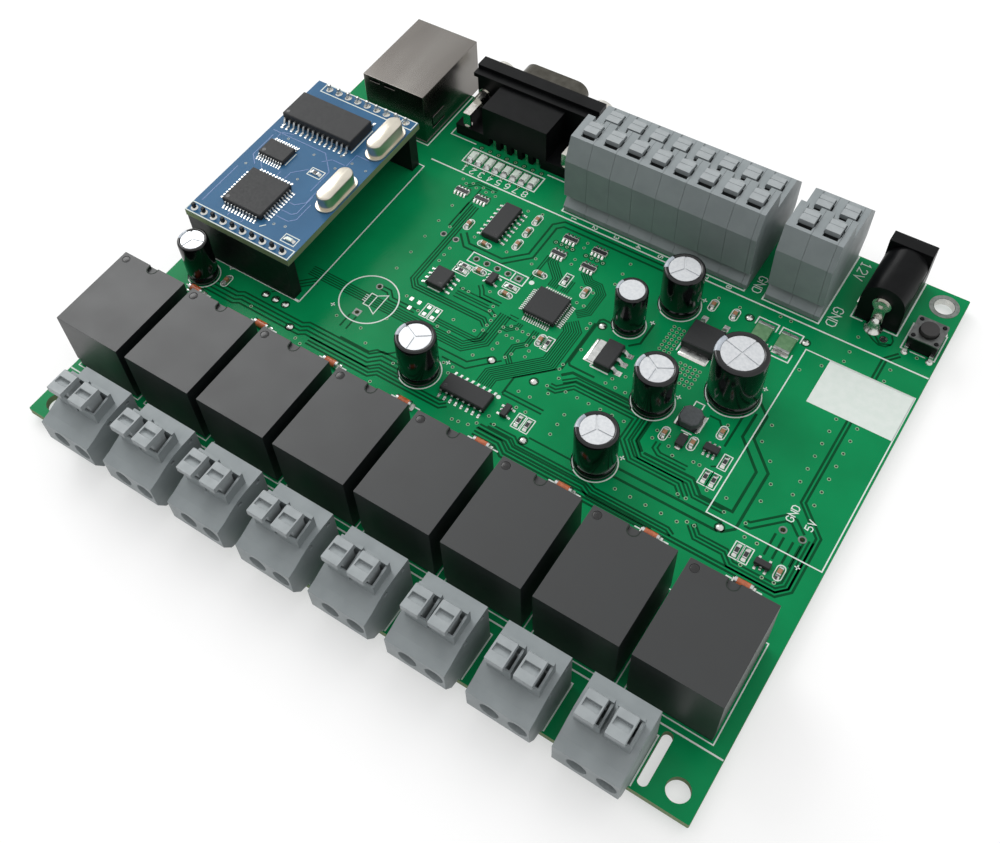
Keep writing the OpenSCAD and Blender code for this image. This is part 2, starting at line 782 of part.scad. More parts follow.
// Centre pin with its rivet head, the strip from the rivet to the board and the side lug
module power_jack_contacts() {
    mid = power_w / 2;
    strip_t = 0.4;
    color("silver") translate([power_x, power_y, 0]) {
        difference() {
            union() {
                translate([mid, -strip_t - 0.5, power_axis]) rotate([-90, 0, 0]) cylinder(r = 1.4, h = 0.5);
                translate([mid, -strip_t, power_axis]) rotate([-90, 0, 0])
                    cylinder(d = power_pin_d, h = power_d - 1 + strip_t);
                translate([mid - 1.1, -strip_t, 0]) cube([2.2, strip_t, power_axis]);
                translate([mid, -strip_t, power_axis]) rotate([-90, 0, 0]) cylinder(r = 1.8, h = strip_t);
            }
            translate([mid, -strip_t - 1, power_axis]) rotate([-90, 0, 0]) cylinder(r = 0.5, h = 0.9);
        }
        translate([-strip_t, 1, 0]) cube([strip_t, 2.2, 3]);
    }
}

module reset_switch() {
    mid = switch_w / 2;
    well_r = button_d / 2 + slide;
    translate([switch_x, switch_y, 0]) {
        color("dimgray") difference() {
            cube([switch_w, switch_w, switch_base_h]);
            translate([mid, mid, switch_base_h - 1.6]) cylinder(r = well_r, h = 3);
        }
        color("silver") {
            translate([0, 0, switch_base_h]) linear_extrude(switch_cover_t) difference() {
                square(switch_w);
                translate([mid, mid]) circle(well_r);
            }
            for (x = [0.75, switch_w - 0.75], y = [0.75, switch_w - 0.75])
                translate([x, y, switch_base_h + switch_cover_t]) cylinder(r = 0.45, h = 0.2);
            for (x = [0.2, switch_w - 0.9], y = [-0.7, switch_w])
                translate([x, y, 0]) cube([0.7, 0.7, 1.4]);
        }
    }
}

module reset_button() {
    mid = switch_w / 2;
    bottom = switch_base_h - 1.6 + button_travel + slide;
    color("dimgray") translate([switch_x + mid, switch_y + mid, bottom])
        cylinder(d = button_d, h = button_top - bottom);
}

// ---------- chips and small parts ----------

// Outline of a row of leads on both long sides of a chip, tip to tip
module lead_comb(n, pitch, lead_w, tip) {
    first = -(n - 1) / 2 * pitch;
    polygon(concat(
        [for (k = [0 : n - 1], c = [0 : 3]) let (x = first + k * pitch)
            [x + (c < 2 ? -lead_w / 2 : lead_w / 2), (c == 0 || c == 3) ? -0.3 : -tip]],
        [for (j = [0 : n - 1], c = [0 : 3]) let (x = first + (n - 1 - j) * pitch)
            [x + (c < 2 ? lead_w / 2 : -lead_w / 2), (c == 0 || c == 3) ? 0.3 : tip]]
    ));
}

// Gull-wing leads along the two long sides: flat feet and the risers up to the body
module gull_leads(n, pitch, lead_w, body_w, span, h) {
    linear_extrude(0.2) lead_comb(n, pitch, lead_w, span / 2);
    linear_extrude(h * 0.55) lead_comb(n, pitch, lead_w, body_w / 2 + 0.3);
}

module dual_chip(body_l, body_w, h, n, pitch, lead_w, span) {
    translate([-body_l / 2, -body_w / 2, 0.1]) cube([body_l, body_w, h - 0.1]);
    gull_leads(n, pitch, lead_w, body_w, span, h);
}

module quad_chip(body_l, h, n, pitch, lead_w, span) {
    translate([-body_l / 2, -body_l / 2, 0.1]) cube([body_l, body_l, h - 0.1]);
    for (turn = [0, 90]) rotate(turn) gull_leads(n, pitch, lead_w, body_l, span, h);
}

// A power transistor: body, leads to -Y and a tab to +Y
module tab_chip(body_l, body_w, h, pitch, lead_w, tab_l, reach) {
    translate([-body_l / 2, -body_w / 2, 0.1]) cube([body_l, body_w, h - 0.1]);
    translate([-body_l * 0.42, 0, 0]) cube([body_l * 0.84, body_w / 2 + tab_l, 0.5]);
    for (side = [-1, 1]) translate([side * pitch - lead_w / 2, -body_w / 2 - reach, 0])
        cube([lead_w, reach + 0.5, 0.5]);
}

module at_field(p, turn = 0) {
    translate([p[0], field_y + p[1], 0]) rotate(turn) children();
}

module board_chips() {
    color("dimgray") {
        at_field([71.98, 40.5]) quad_chip(7, 1.5, 12, 0.5, 0.24, 9);
        at_field([69.9, 15.05]) dual_chip(9.9, 3.9, 1.6, 8, 1.27, 0.42, 6);
        at_field([52.4, 54.65], 90) dual_chip(9.9, 3.9, 1.6, 8, 1.27, 0.42, 6);
        at_field([49.95, 35.45], 90) dual_chip(4.9, 3.9, 1.6, 4, 1.27, 0.42, 6);
        at_field([58.8, 40.95]) dual_chip(2.9, 1.6, 1.1, 2, 1.9, 0.4, 2.8);
        at_field([78.2, 15.65], 90) dual_chip(2.9, 1.3, 1, 2, 1.9, 0.4, 2.4);
        at_field([131.4, 12.45], 90) dual_chip(2.9, 1.3, 1, 2, 1.9, 0.4, 2.4);
        at_field([114, 28.15]) dual_chip(2.9, 1.6, 1.1, 3, 0.95, 0.4, 2.8);
        at_field([88.3, 36.45], 90) tab_chip(6.5, 3.5, 1.7, 2.3, 0.7, 1.7, 1.7);
        at_field([101.7, 48.9], 180) tab_chip(6.5, 6.1, 2.3, 2.28, 0.8, 1.2, 2.6);
    }
}

// Light diodes, glass diodes, fuses, a coil, a diode and resistor arrays
module surface_parts() {
    color("white") for (k = [0 : 7])
        translate([36.2 + k * 2.21 - 0.85, board_d - 18.15, 0]) cube([1.7, 3.3, 0.8]);
    color("sienna") for (k = [0 : relays_n - 1])
        translate([relay_x(k) + relay_w / 2 - 1.75, field_y + 7.15, 0.8]) rotate([0, 90, 0])
            cylinder(r = 0.8, h = 3.5);
    color("seagreen") for (x = [110.2, 115.1]) at_field([x, 56.65]) translate([-1.6, -2.3, 0])
        cube([3.2, 4.6, 0.8]);
    color("dimgray") {
        at_field([107.9, 31.85]) translate([-2, -2.1, 0]) cube([4, 4.2, 2]);
        at_field([108.6, 26.95]) translate([-0.8, -1.35, 0]) cube([1.6, 2.7, 1.1]);
        for (p = [[39.9, 58.35], [44.9, 58.35], [66.8, 58.45], [73.6, 58.45], [66.7, 53.75], [73.7, 53.75]])
            at_field(p) translate([-1.6, -0.8, 0]) cube([3.2, 1.6, 0.5]);
    }
}

module electrolytic_capacitors() {
    color("silver") for (c = capacitors) at_field([c[0], c[1]]) {
        cylinder(d = c[2] - 0.5, h = c[3]);
        cylinder(d = c[2], h = 1.6);
        translate([0, 0, 2.2]) cylinder(d = c[2], h = c[3] - 2.5);
    }
}

// A low crystal can: a flat flange with round ends and the can on it
module crystal() {
    for (s = [[11.3, 4.5, 0, 0.4], [10, 3.6, 0.4, 3.1]]) translate([0, 0, s[2]]) {
        straight = (s[0] - s[1]) / 2;
        for (y = [-straight, straight]) translate([0, y, 0]) cylinder(d = s[1], h = s[3]);
        translate([-s[1] / 2, -straight, 0]) cube([s[1], 2 * straight, s[3]]);
    }
}

// Chips, crystals and small parts of the controller board, placed from its left front corner
module daughter_parts() {
    translate([daughter_x, daughter_y, daughter_h]) {
        color("dimgray") {
            translate([10.4, 34.1, 0]) dual_chip(17.9, 7.5, 2.6, 14, 1.27, 0.42, 10.4);
            translate([6.4, 22, 0]) dual_chip(6.5, 4.4, 1.2, 10, 0.65, 0.25, 6.4);
            translate([10.5, 10.5, 0]) quad_chip(10, 1.5, 11, 0.8, 0.35, 12);
        }
        color("silver") {
            translate([24.2, 35.8, 0]) crystal();
            translate([24.2, 19, 0]) crystal();
        }
        color("white") translate([22.8, 4, 0]) cube([1.6, 0.8, 0.6]);
        color("dimgray") translate([16, 21.1, 0]) cube([1.6, 0.8, 0.5]);
    }
}

// ---------- solder joints under the board ----------

module solder_cone() {
    translate([0, 0, -board_t - 1.3]) cylinder(r1 = 0.4, r2 = 0.95, h = 1.3, $fn = 24);
}

module solder_joints() {
    color("silver") {
        for (k = [0 : relays_n - 1], p = [[-6, 2.2], [0, 2.2], [6, 2.2], [-6, 14.4], [6, 14.4]])
            translate([relay_x(k) + relay_w / 2 + p[0], relay_y + p[1], 0]) solder_cone();
        for (k = [0 : outputs_n - 1], p = [0 : output_poles - 1], y = contact_legs)
            translate([output_x(k) + wire_x(p), y + contact_t / 2, 0]) solder_cone();
        for (p = [0 : input_poles - 1], y = [upper_bar_y, lower_bar_y])
            translate([input_x + p * pole_pitch + tab_x + tab_w / 2, input_y + y + bar_t / 2, 0])
                solder_cone();
        for (p = [0 : supply_poles - 1], y = [upper_bar_y, lower_bar_y])
            translate([supply_x + p * pole_pitch + tab_x + tab_w / 2, input_y + y + bar_t / 2, 0])
                solder_cone();
        for (side = [-1, 1]) {
            translate([jack_x + jack_w / 2 + side * (jack_w / 2 - 0.8), jack_y + 12, 0]) solder_cone();
            translate([serial_mid + side * screw_span / 2, serial_y + 1.5, 0]) solder_cone();
            for (c = capacitors) at_field([c[0] + side * max(1.25, c[2] / 4), c[1]]) solder_cone();
            for (y = [-0.4, switch_w + 0.4])
                translate([switch_x + switch_w / 2 + side * (switch_w / 2 - 0.6), switch_y + y, 0])
                    solder_cone();
        }
        for (k = [0 : 3], row = [0, 1])
            translate([jack_x + jack_w / 2 + (k - 1.5) * 2.54 + row * 1.27, jack_y + 3 + row * 2.54, 0])
                solder_cone();
        for (row = [0, 1], k = [0 : 4 - row])
            translate([serial_mid + (k - 2 + row / 2) * serial_pitch,
                       serial_y + serial_rows[row] + pin_w / 2, 0])
                solder_cone();
        translate([power_x + power_w / 2, power_y, 0]) solder_cone();
        translate([power_x, power_y + 2.1, 0]) solder_cone();
        translate([power_x + power_w / 2, power_y + 6.5, 0]) solder_cone();
        header_places() solder_cone();
    }
}

// ---------- nodes ----------

place() main_board();
place() relays();
place() output_terminals();
place() output_contacts();
place() input_terminals();
place() input_contacts();
place() network_jack_shield();
place() network_jack_insert();
place() network_jack_contacts();
place() serial_housing();
place() serial_shell();
place() serial_metalwork();
place() power_jack_housing();
place() power_jack_contacts();
place() reset_switch();
place() daughter_board();
place() daughter_headers();
place() daughter_sockets();
place() daughter_parts();
place() electrolytic_capacitors();
place() board_chips();
place() surface_parts();
place() solder_joints();
for (n = [1 : outputs_n * output_poles])
    place() output_lever(n);
for (n = [1 : input_poles]) {
    place() input_tab(input_x, n, true);
    place() input_tab(input_x, n, false);
}
for (n = [1 : supply_poles]) {
    place() input_tab(supply_x, n, true);
    place() input_tab(supply_x, n, false);
}
place() reset_button();
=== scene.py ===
"""Looks of a relay board with push-lever terminals, two-tier input terminals, network, serial and power
jacks and a plug-on controller board.

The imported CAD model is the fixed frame. This script adds what the CAD leaves out or draws plainly: the
board's print, tracks, pads and vias, the small chip parts, chip bodies with bent leads, capacitor sleeves
and vents, crystals and the reset switch's cover. Then it gives every surface its finish, and adds the
floor, the lamps and the camera. Lengths in the layout tables are millimetres from the main board's
front-left corner, on its top face.
"""

import math

import bpy
import numpy as np
from mathutils import Matrix, Vector


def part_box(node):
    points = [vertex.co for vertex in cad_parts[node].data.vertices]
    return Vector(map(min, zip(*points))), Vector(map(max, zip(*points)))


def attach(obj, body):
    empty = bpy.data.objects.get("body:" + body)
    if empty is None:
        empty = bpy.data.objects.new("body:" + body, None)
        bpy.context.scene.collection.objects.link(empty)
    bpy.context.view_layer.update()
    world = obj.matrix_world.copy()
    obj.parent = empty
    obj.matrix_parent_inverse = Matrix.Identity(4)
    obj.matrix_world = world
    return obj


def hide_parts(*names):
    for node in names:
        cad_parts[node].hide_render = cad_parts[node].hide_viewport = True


bl_info = {
    "name": "Relay Board Looks",
    "version": (1, 0, 0),
    "blender": (4, 5, 0),
    "location": "View3D > Sidebar > Relay Board",
    "description": "Print, tracks, small parts, finishes and stage of a relay board",
    "category": "Object",
}

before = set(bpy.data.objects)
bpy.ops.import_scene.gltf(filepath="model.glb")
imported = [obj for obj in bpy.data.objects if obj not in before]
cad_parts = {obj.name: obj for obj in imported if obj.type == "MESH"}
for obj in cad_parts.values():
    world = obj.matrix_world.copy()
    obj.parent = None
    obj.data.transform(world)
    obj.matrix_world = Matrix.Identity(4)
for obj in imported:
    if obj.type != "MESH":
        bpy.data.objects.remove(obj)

MM = 0.001
ROOT = "board_assembly"
BOARD_LOW, BOARD_HIGH = (np.array(corner, float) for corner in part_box("main_board"))
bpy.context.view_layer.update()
BOARD_SIZE = (BOARD_HIGH - BOARD_LOW) / MM
# The relays and the output terminals in front of them, in millimetres
RELAYS = 8
RELAY_WIDTH = 15.2
RELAY_STEP = 17.35
OUTPUT_LEFT = 11.4
OUTPUT_STEP = 15.369


def board_box(node):
    """Lowest and highest corner of a CAD node in the layout's millimetres."""
    low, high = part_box(node)
    origin = np.array([BOARD_LOW[0], BOARD_LOW[1], BOARD_HIGH[2]])
    return (np.array(low) - origin) / MM, (np.array(high) - origin) / MM


# ---------- surfaces ----------
# A shell is (points, faces): an n x 3 array in layout millimetres, and a list of index arrays, a row a face.
# Outlines run anticlockwise seen from the end that they are drawn towards.


def rounded(width, depth, radius, steps=3, centre=(0.0, 0.0)):
    """A rectangle with quarter circles at its corners: corner centre plus radius times (cos a, sin a)."""
    radius = min(radius, width / 2, depth / 2)
    angle = np.linspace(0, math.pi / 2, steps + 1)
    turns = np.concatenate([angle + quarter * math.pi / 2 for quarter in range(4)])
    sign_x = np.repeat([1, -1, -1, 1], steps + 1)
    sign_y = np.repeat([1, 1, -1, -1], steps + 1)
    x = centre[0] + sign_x * (width / 2 - radius) + radius * np.cos(turns)
    y = centre[1] + sign_y * (depth / 2 - radius) + radius * np.sin(turns)
    return np.column_stack([x, y])


def circle(radius, steps=24, centre=(0.0, 0.0), start=0.0):
    """Points at equal angles round a centre."""
    angle = start + np.arange(steps) * 2 * math.pi / steps
    return np.column_stack([centre[0] + radius * np.cos(angle), centre[1] + radius * np.sin(angle)])


def at_height(outline, z):
    """An outline lifted to a height."""
    return np.column_stack([outline, np.full(len(outline), float(z))])


def loft(rings, caps=True, closed=False):
    """Rings of equally many points, lowest first: quads join each to the next, and a face closes each end."""
    rings = np.asarray(rings, float)
    count, around = rings.shape[:2]
    row = np.arange(count if closed else count - 1)[:, None] * around
    column = np.arange(around)[None, :]
    beside = (column + 1) % around
    above = (row + around) % (count * around)
    faces = [np.stack([row + column, row + beside, above + beside, above + column], -1).reshape(-1, 4)]
    if caps and not closed:
        faces += [np.arange(around)[::-1][None, :], ((count - 1) * around + np.arange(around))[None, :]]
    return rings.reshape(-1, 3), faces


def block(width, depth, low, high, edge=0.0, radius=0.0, centre=(0.0, 0.0), steps=1):
    """A block whose top edge is cut back: the outline at two heights, then less the edge all round."""
    rings = [
        at_height(rounded(width, depth, radius, steps, centre), low),
        at_height(rounded(width, depth, radius, steps, centre), high - edge),
    ]
    if edge:
        small = rounded(width - 2 * edge, depth - 2 * edge, max(radius - edge, 0.01), steps, centre)
        rings.append(at_height(small, high))
    return loft(rings)


def disc(radius, low, high, steps=16, centre=(0.0, 0.0), top=None):
    """A round block, with its own radius at the top when one is given."""
    upper = radius if top is None else top
    return loft([at_height(circle(radius, steps, centre), low),
                 at_height(circle(upper, steps, centre), high)])


def ring(outer, inner, low, high, steps=24, centre=(0.0, 0.0)):
    """A flat washer: outer wall up, across the top, inner wall down and back along the bottom."""
    outer_line = outer if isinstance(outer, np.ndarray) else circle(outer, steps, centre)
    inner_line = inner if isinstance(inner, np.ndarray) else circle(inner, steps, centre)
    return loft([at_height(outer_line, low), at_height(outer_line, high),
                 at_height(inner_line, high), at_height(inner_line, low)], closed=True)


def lathe(profile, steps=48, centre=(0.0, 0.0)):
    """A closed profile of (radius, height) points turned round an upright axis."""
    rings = [at_height(circle(radius, steps, centre), height) for radius, height in profile]
    return loft(rings)


def side_profile(outline, low, high):
    """An outline in the YZ plane drawn out along +X, turned round first if it runs clockwise."""
    outline = np.asarray(outline, float)
    ahead = np.roll(outline, -1, axis=0)
    if np.sum(outline[:, 0] * ahead[:, 1] - ahead[:, 0] * outline[:, 1]) < 0:
        outline = outline[::-1]
    rings = [np.column_stack([np.full(len(outline), x), outline]) for x in (low, high)]
    return loft(rings)


def sidestep(path, distance, closed=False):
    """A path moved sideways: each corner goes along the mean of its two normals, over the cosine of half its
    turn."""
    path = np.asarray(path, float)
    ahead = np.roll(path, -1, axis=0) - path
    if not closed:
        ahead[-1] = ahead[-2]
    behind = np.roll(ahead, 1, axis=0)
    if not closed:
        behind[0] = ahead[0]
    ahead /= np.linalg.norm(ahead, axis=1)[:, None]
    behind /= np.linalg.norm(behind, axis=1)[:, None]
    mean = ahead + behind
    mean /= np.linalg.norm(mean, axis=1)[:, None]
    stretch = distance / np.maximum(np.sum(mean * ahead, axis=1), 0.3)
    return path + np.column_stack([-mean[:, 1], mean[:, 0]]) * stretch[:, None]


def strip(path, width, low, high, closed=False):
    """A flat line of even width along a path: a four-cornered section carried from point to point."""
    left = sidestep(path, width / 2, closed)
    right = sidestep(path, -width / 2, closed)
    section = np.stack([at_height(right, low), at_height(right, high),
                        at_height(left, high), at_height(left, low)], axis=1)
    return loft(section[:, ::-1], closed=closed)


def moved(shell, x=0.0, y=0.0, z=0.0, turn=0.0):
    """A shell turned about the upright axis by degrees, then moved."""
    points, faces = shell
    c, s = math.cos(math.radians(turn)), math.sin(math.radians(turn))
    spin = np.array([[c, s, 0], [-s, c, 0], [0, 0, 1]])
    return points @ spin + [x, y, z], faces


def copies(shell, places):
    """One copy of a shell at each of the places, as one shell."""
    points, faces = shell
    places = np.atleast_2d(np.asarray(places, float))
    if places.shape[1] == 2:
        places = np.column_stack([places, np.zeros(len(places))])
    shift = np.arange(len(places)) * len(points)
    many = (points[None] + places[:, None]).reshape(-1, 3)
    return many, [(face[None] + shift[:, None, None]).reshape(-1, face.shape[1]) for face in faces]


def joined(shells):
    """Several shells as one."""
    start, points, faces = 0, [], []
    for shell_points, shell_faces in shells:
        points.append(shell_points)
        faces += [face + start for face in shell_faces]
        start += len(shell_points)
    return np.vstack(points), faces


def add_piece(name, groups, replaces=(), smooth=None, body=ROOT):
    """Makes one object from (shell, material) groups, in metres in the frame, riding on its body."""
    mesh = bpy.data.meshes.new(name)
    points, faces, materials, start = [], [], [], 0
    for number, (shell, material) in enumerate(groups):
        mesh.materials.append(material)
        points.append(shell[0])
        for face in shell[1]:
            rows = (face + start).tolist()
            faces += rows
            materials += [number] * len(rows)
        start += len(shell[0])
    place = np.vstack(points) * MM + [BOARD_LOW[0], BOARD_LOW[1], BOARD_HIGH[2]]
    mesh.from_pydata(place.tolist(), [], faces)
    mesh.polygons.foreach_set("material_index", materials)
    mesh.update()
    piece = bpy.data.objects.new(name, mesh)
    bpy.context.scene.collection.objects.link(piece)
    if smooth:
        mesh.shade_smooth()
        mesh.set_sharp_from_angle(angle=math.radians(smooth))
    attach(piece, body)
    if replaces:
        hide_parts(*replaces)
    return piece


# ---------- finishes ----------


def linear(colour):
    """An sRGB hex colour as linear red, green, blue and alpha."""
    parts = [int(colour[i : i + 2], 16) / 255 for i in (1, 3, 5)]
    return tuple(p / 12.92 if p <= 0.04045 else ((p + 0.055) / 1.055) ** 2.4 for p in parts) + (1.0,)


def add_node(tree, kind, values=None, links=None, **settings):
    """Adds a node, sets its settings and socket values, and links its sockets."""
    node = tree.nodes.new(kind)
    for key, value in settings.items():
        setattr(node, key, value)
    for key, value in (values or {}).items():
        node.inputs[key].default_value = value
    for key, source in (links or {}).items():
        tree.links.new(source, node.inputs[key])
    return node


def new_material(name):
    """An empty material with its shader and the object coordinates, in metres."""
    material = bpy.data.materials.new(name)
    material.use_nodes = True
    tree = material.node_tree
    tree.nodes.clear()
    shader = add_node(tree, "ShaderNodeBsdfPrincipled")
    add_node(tree, "ShaderNodeOutputMaterial", links={"Surface": shader.outputs[0]})
    place = add_node(tree, "ShaderNodeTexCoord").outputs["Object"]
    return material, tree, shader, place


def mottled(tree, place, colours, grain, detail=2.0, low=0.35, high=0.65, stretch=(1, 1, 1)):
    """Two colours mixed by noise whose grains are this many millimetres across. Returns (colour, noise)."""
    spread = add_node(tree, "ShaderNodeMapping", {"Scale": stretch}, {"Vector": place})
    noise = add_node(tree, "ShaderNodeTexNoise", {"Scale": 1 / (grain * MM), "Detail": detail},
                     {"Vector": spread.outputs[0]})
    span = add_node(tree, "ShaderNodeMapRange", {"From Min": low, "From Max": high},
                    {"Value": noise.outputs[0]})
    mix = add_node(tree, "ShaderNodeMix", {6: linear(colours[0]), 7: linear(colours[1])},
                   {0: span.outputs[0]}, data_type="RGBA")
    return mix.outputs[2], noise.outputs[0]


def roughen(tree, shader, source, low, high, height=None, bump_grain=None, place=None, strength=0.3):
    """Roughness from low to high by a noise, and a bump of that height in millimetres."""
    span = add_node(tree, "ShaderNodeMapRange", {"From Min": 0.3, "From Max": 0.7, "To Min": low,
                                                 "To Max": high},
                    {"Value": source})
    tree.links.new(span.outputs[0], shader.inputs["Roughness"])
    if height:
        noise = add_node(tree, "ShaderNodeTexNoise", {"Scale": 1 / (bump_grain * MM), "Detail": 3.0},
                         {"Vector": place})
        bump = add_node(tree, "ShaderNodeBump", {"Strength": strength, "Distance": height * MM},
                        {"Height": noise.outputs[0]})
        tree.links.new(bump.outputs[0], shader.inputs["Normal"])


def solder_mask(name, colours, laminate, side):
    """Cured liquid solder mask, screened over a glass-epoxy board: a hard gloss, faintly uneven in colour,
    with the pale sawn laminate showing between the two masked faces at each edge. side is (low, high), the
    laminate's band of heights in metres."""
    material, tree, shader, place = new_material(name)
    colour, noise = mottled(tree, place, colours, 9.0, 3.0, 0.3, 0.7)
    height = add_node(tree, "ShaderNodeSeparateXYZ", links={0: place}).outputs[2]
    middle, half = (side[0] + side[1]) / 2, (side[1] - side[0]) / 2
    band = add_node(tree, "ShaderNodeMath", {1: middle, 2: half}, {0: height}, operation="COMPARE")
    edge = add_node(tree, "ShaderNodeMix", {7: linear(laminate)}, {0: band.outputs[0], 6: colour},
                    data_type="RGBA")
    tree.links.new(edge.outputs[2], shader.inputs["Base Color"])
    gloss = add_node(tree, "ShaderNodeMapRange", {"To Min": 0.24, "To Max": 0.7}, {"Value": band.outputs[0]})
    tree.links.new(gloss.outputs[0], shader.inputs["Roughness"])
    shader.inputs["Specular IOR Level"].default_value = 0.08
    # The weave under the mask shows as a very faint ripple, 0.5 mm from thread to thread
    weave = add_node(tree, "ShaderNodeTexNoise", {"Scale": 1 / (0.5 * MM), "Detail": 2.0}, {"Vector": place})
    bump = add_node(tree, "ShaderNodeBump", {"Strength": 0.12, "Distance": 0.02 * MM},
                    {"Height": weave.outputs[0]})
    tree.links.new(bump.outputs[0], shader.inputs["Normal"])
    return material


def moulded(name, colours, grain, gloss, bump_mm=0.01, bump_grain=0.25, specular=0.5, strength=0.3):
    """Injection-moulded or cast plastic: nearly one colour, with a slightly uneven gloss and a fine eroded
    skin. grain is the size of the colour's patches and bump_grain that of the skin, in millimetres."""
    material, tree, shader, place = new_material(name)
    colour, noise = mottled(tree, place, colours, grain)
    tree.links.new(colour, shader.inputs["Base Color"])
    shader.inputs["Specular IOR Level"].default_value = specular
    roughen(tree, shader, noise, gloss[0], gloss[1], bump_mm, bump_grain, place, strength)
    return material


def metal(name, colours, grain, gloss, bump_mm=0.01, bump_grain=0.4, stretch=(1, 1, 1), strength=0.3):
    """Bare metal: its tint drifts over patches of the grain's size, and the gloss and skin are uneven."""
    material, tree, shader, place = new_material(name)
    colour, noise = mottled(tree, place, colours, grain, stretch=stretch)
    tree.links.new(colour, shader.inputs["Base Color"])
    shader.inputs["Metallic"].default_value = 1.0
    roughen(tree, shader, noise, gloss[0], gloss[1], bump_mm, bump_grain, place, strength)
    return material


def background_rays(tree):
    """One for a ray from the camera, a mirror or glass, and nought for one that carries light."""
    ray = add_node(tree, "ShaderNodeLightPath")
    seen = add_node(tree, "ShaderNodeMath", {}, {0: ray.outputs["Is Camera Ray"],
                                                 1: ray.outputs["Is Glossy Ray"]},
                    operation="MAXIMUM")
    return add_node(tree, "ShaderNodeMath", {}, {0: seen.outputs[0], 1: ray.outputs["Is Transmission Ray"]},
                    operation="MAXIMUM").outputs[0]


def shaded_below(material, level):
    """Paints shade under a height of the object, on the sides that stand in a well: the colour is multiplied
    by a factor that falls from one to a tenth across 0.15 mm, and the specular level is set to that factor."""
    tree = material.node_tree
    shader = tree.nodes["Principled BSDF"]
    place = tree.nodes["Texture Coordinate"].outputs["Object"]
    height = add_node(tree, "ShaderNodeSeparateXYZ", links={0: place}).outputs[2]
    factor = add_node(tree, "ShaderNodeMapRange", {"From Min": level - 0.15 * MM, "From Max": level,
                                                   "To Min": 0.1},
                      {"Value": height})
    colour = shader.inputs["Base Color"].links[0].from_socket
    dark = add_node(tree, "ShaderNodeMix", {0: 1.0}, {6: colour, 7: factor.outputs[0]}, data_type="RGBA",
                    blend_type="MULTIPLY")
    tree.links.new(dark.outputs[2], shader.inputs["Base Color"])
    # The painted shade dims the reflection in the well too
    tree.links.new(factor.outputs[0], shader.inputs["Specular IOR Level"])
    return material


FINISHES = {}


def board_finishes(board):
    """Masks, ink and drilled holes of both boards."""
    low, high = BOARD_LOW[2], BOARD_HIGH[2]
    blue_low, blue_high = (corner[2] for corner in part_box("daughter_board"))
    skin = 0.03 * MM
    return {
        # Green mask over the copper planes, and darker where no copper lies under it
        "green": solder_mask("screened_green_mask_on_glass_epoxy", (board.mask, board.mask_shade),
                             board.laminate, (low + skin, high - skin)),
        "gap": moulded("green_mask_over_bare_laminate", (board.gap, board.gap_shade), 6.0, (0.3, 0.4),
                       specular=0.05),
        # A via's edge is pale where the mask thins over it, and its hole is a dark disc of painted shade
        "rim": moulded("green_mask_over_via_rim", ("#6fa27c", "#93b08c"), 0.6, (0.3, 0.4)),
        "hole": moulded("drilled_hole_in_shade", ("#0b1710", "#101c14"), 0.5, (0.6, 0.8)),
        # Screened epoxy ink is a chalky white
        "ink": moulded("screened_white_epoxy_ink", ("#d2dbd5", "#d8dfda"), 1.5, (0.5, 0.62), 0.003, 0.3, 0.3),
        # Blue mask, a shade paler where a track lies under it
        "blue": solder_mask("screened_blue_mask_on_glass_epoxy", (board.blue, board.blue_shade),
                            board.laminate, (blue_low + skin, blue_high - skin)),
        "blue_track": moulded("blue_mask_over_copper_track", ("#3a5f94", "#42679b"), 2.0, (0.25, 0.35)),
    }


def metal_finishes():
    """Tin, nickel, aluminium and gold."""
    return {
        # Reflowed tin is bright and softly rippled, and levelled tin on a bare ring is greyer and duller
        "solder": metal("reflowed_tin_solder", ("#c9cac6", "#d8d8d3"), 0.9, (0.2, 0.3), 0.02, 0.8,
                        strength=0.12),
        "dull_tin": metal("levelled_tin_ring", ("#6f7470", "#858a86"), 0.7, (0.36, 0.46), 0.015, 0.6,
                          strength=0.12),
        "lead": metal("plated_tin_leads", ("#bcbebc", "#cbccca"), 0.9, (0.25, 0.35), 0.01, 0.6, strength=0.1),
        "rivet": metal("tinned_brass_contact", ("#c4c2bb", "#d2d0ca"), 0.9, (0.18, 0.26), 0.01, 0.8,
                       strength=0.12),
        # A capacitor's top is a soft, even aluminium, and a crystal's can a warmer, smoother one
        "can": metal("pressed_aluminium_can_top", ("#c6c9cc", "#d2d4d6"), 0.5, (0.38, 0.5), 0.01, 0.3,
                     strength=0.12),
        "crystal": metal("drawn_nickel_silver_can", ("#c8c2b4", "#d1cbbe"), 3.0, (0.28, 0.34), 0.01, 1.5,
                         strength=0.08),
        # The network jack's sheet mirrors its surroundings dimly, with faint drawing marks from front to back
        "tinplate": metal("stamped_tinplate_shield", ("#736f6b", "#7c7975"), 9.0, (0.2, 0.26), 0.006, 3.0,
                          (1.0, 0.25, 1.0), 0.05),
        "shell": metal("nickel_plated_steel_shell", ("#4c4a44", "#585650"), 2.0, (0.2, 0.28), 0.01, 0.8,
                       strength=0.1),
        "cover": metal("stamped_stainless_switch_cover", ("#595b5a", "#6c6e6d"), 1.0,
                       (0.34, 0.48), 0.01, 0.3),
        "gold": metal("gold_plated_contact", ("#d9b45c", "#ecd08a"), 0.5, (0.2, 0.3)),
    }


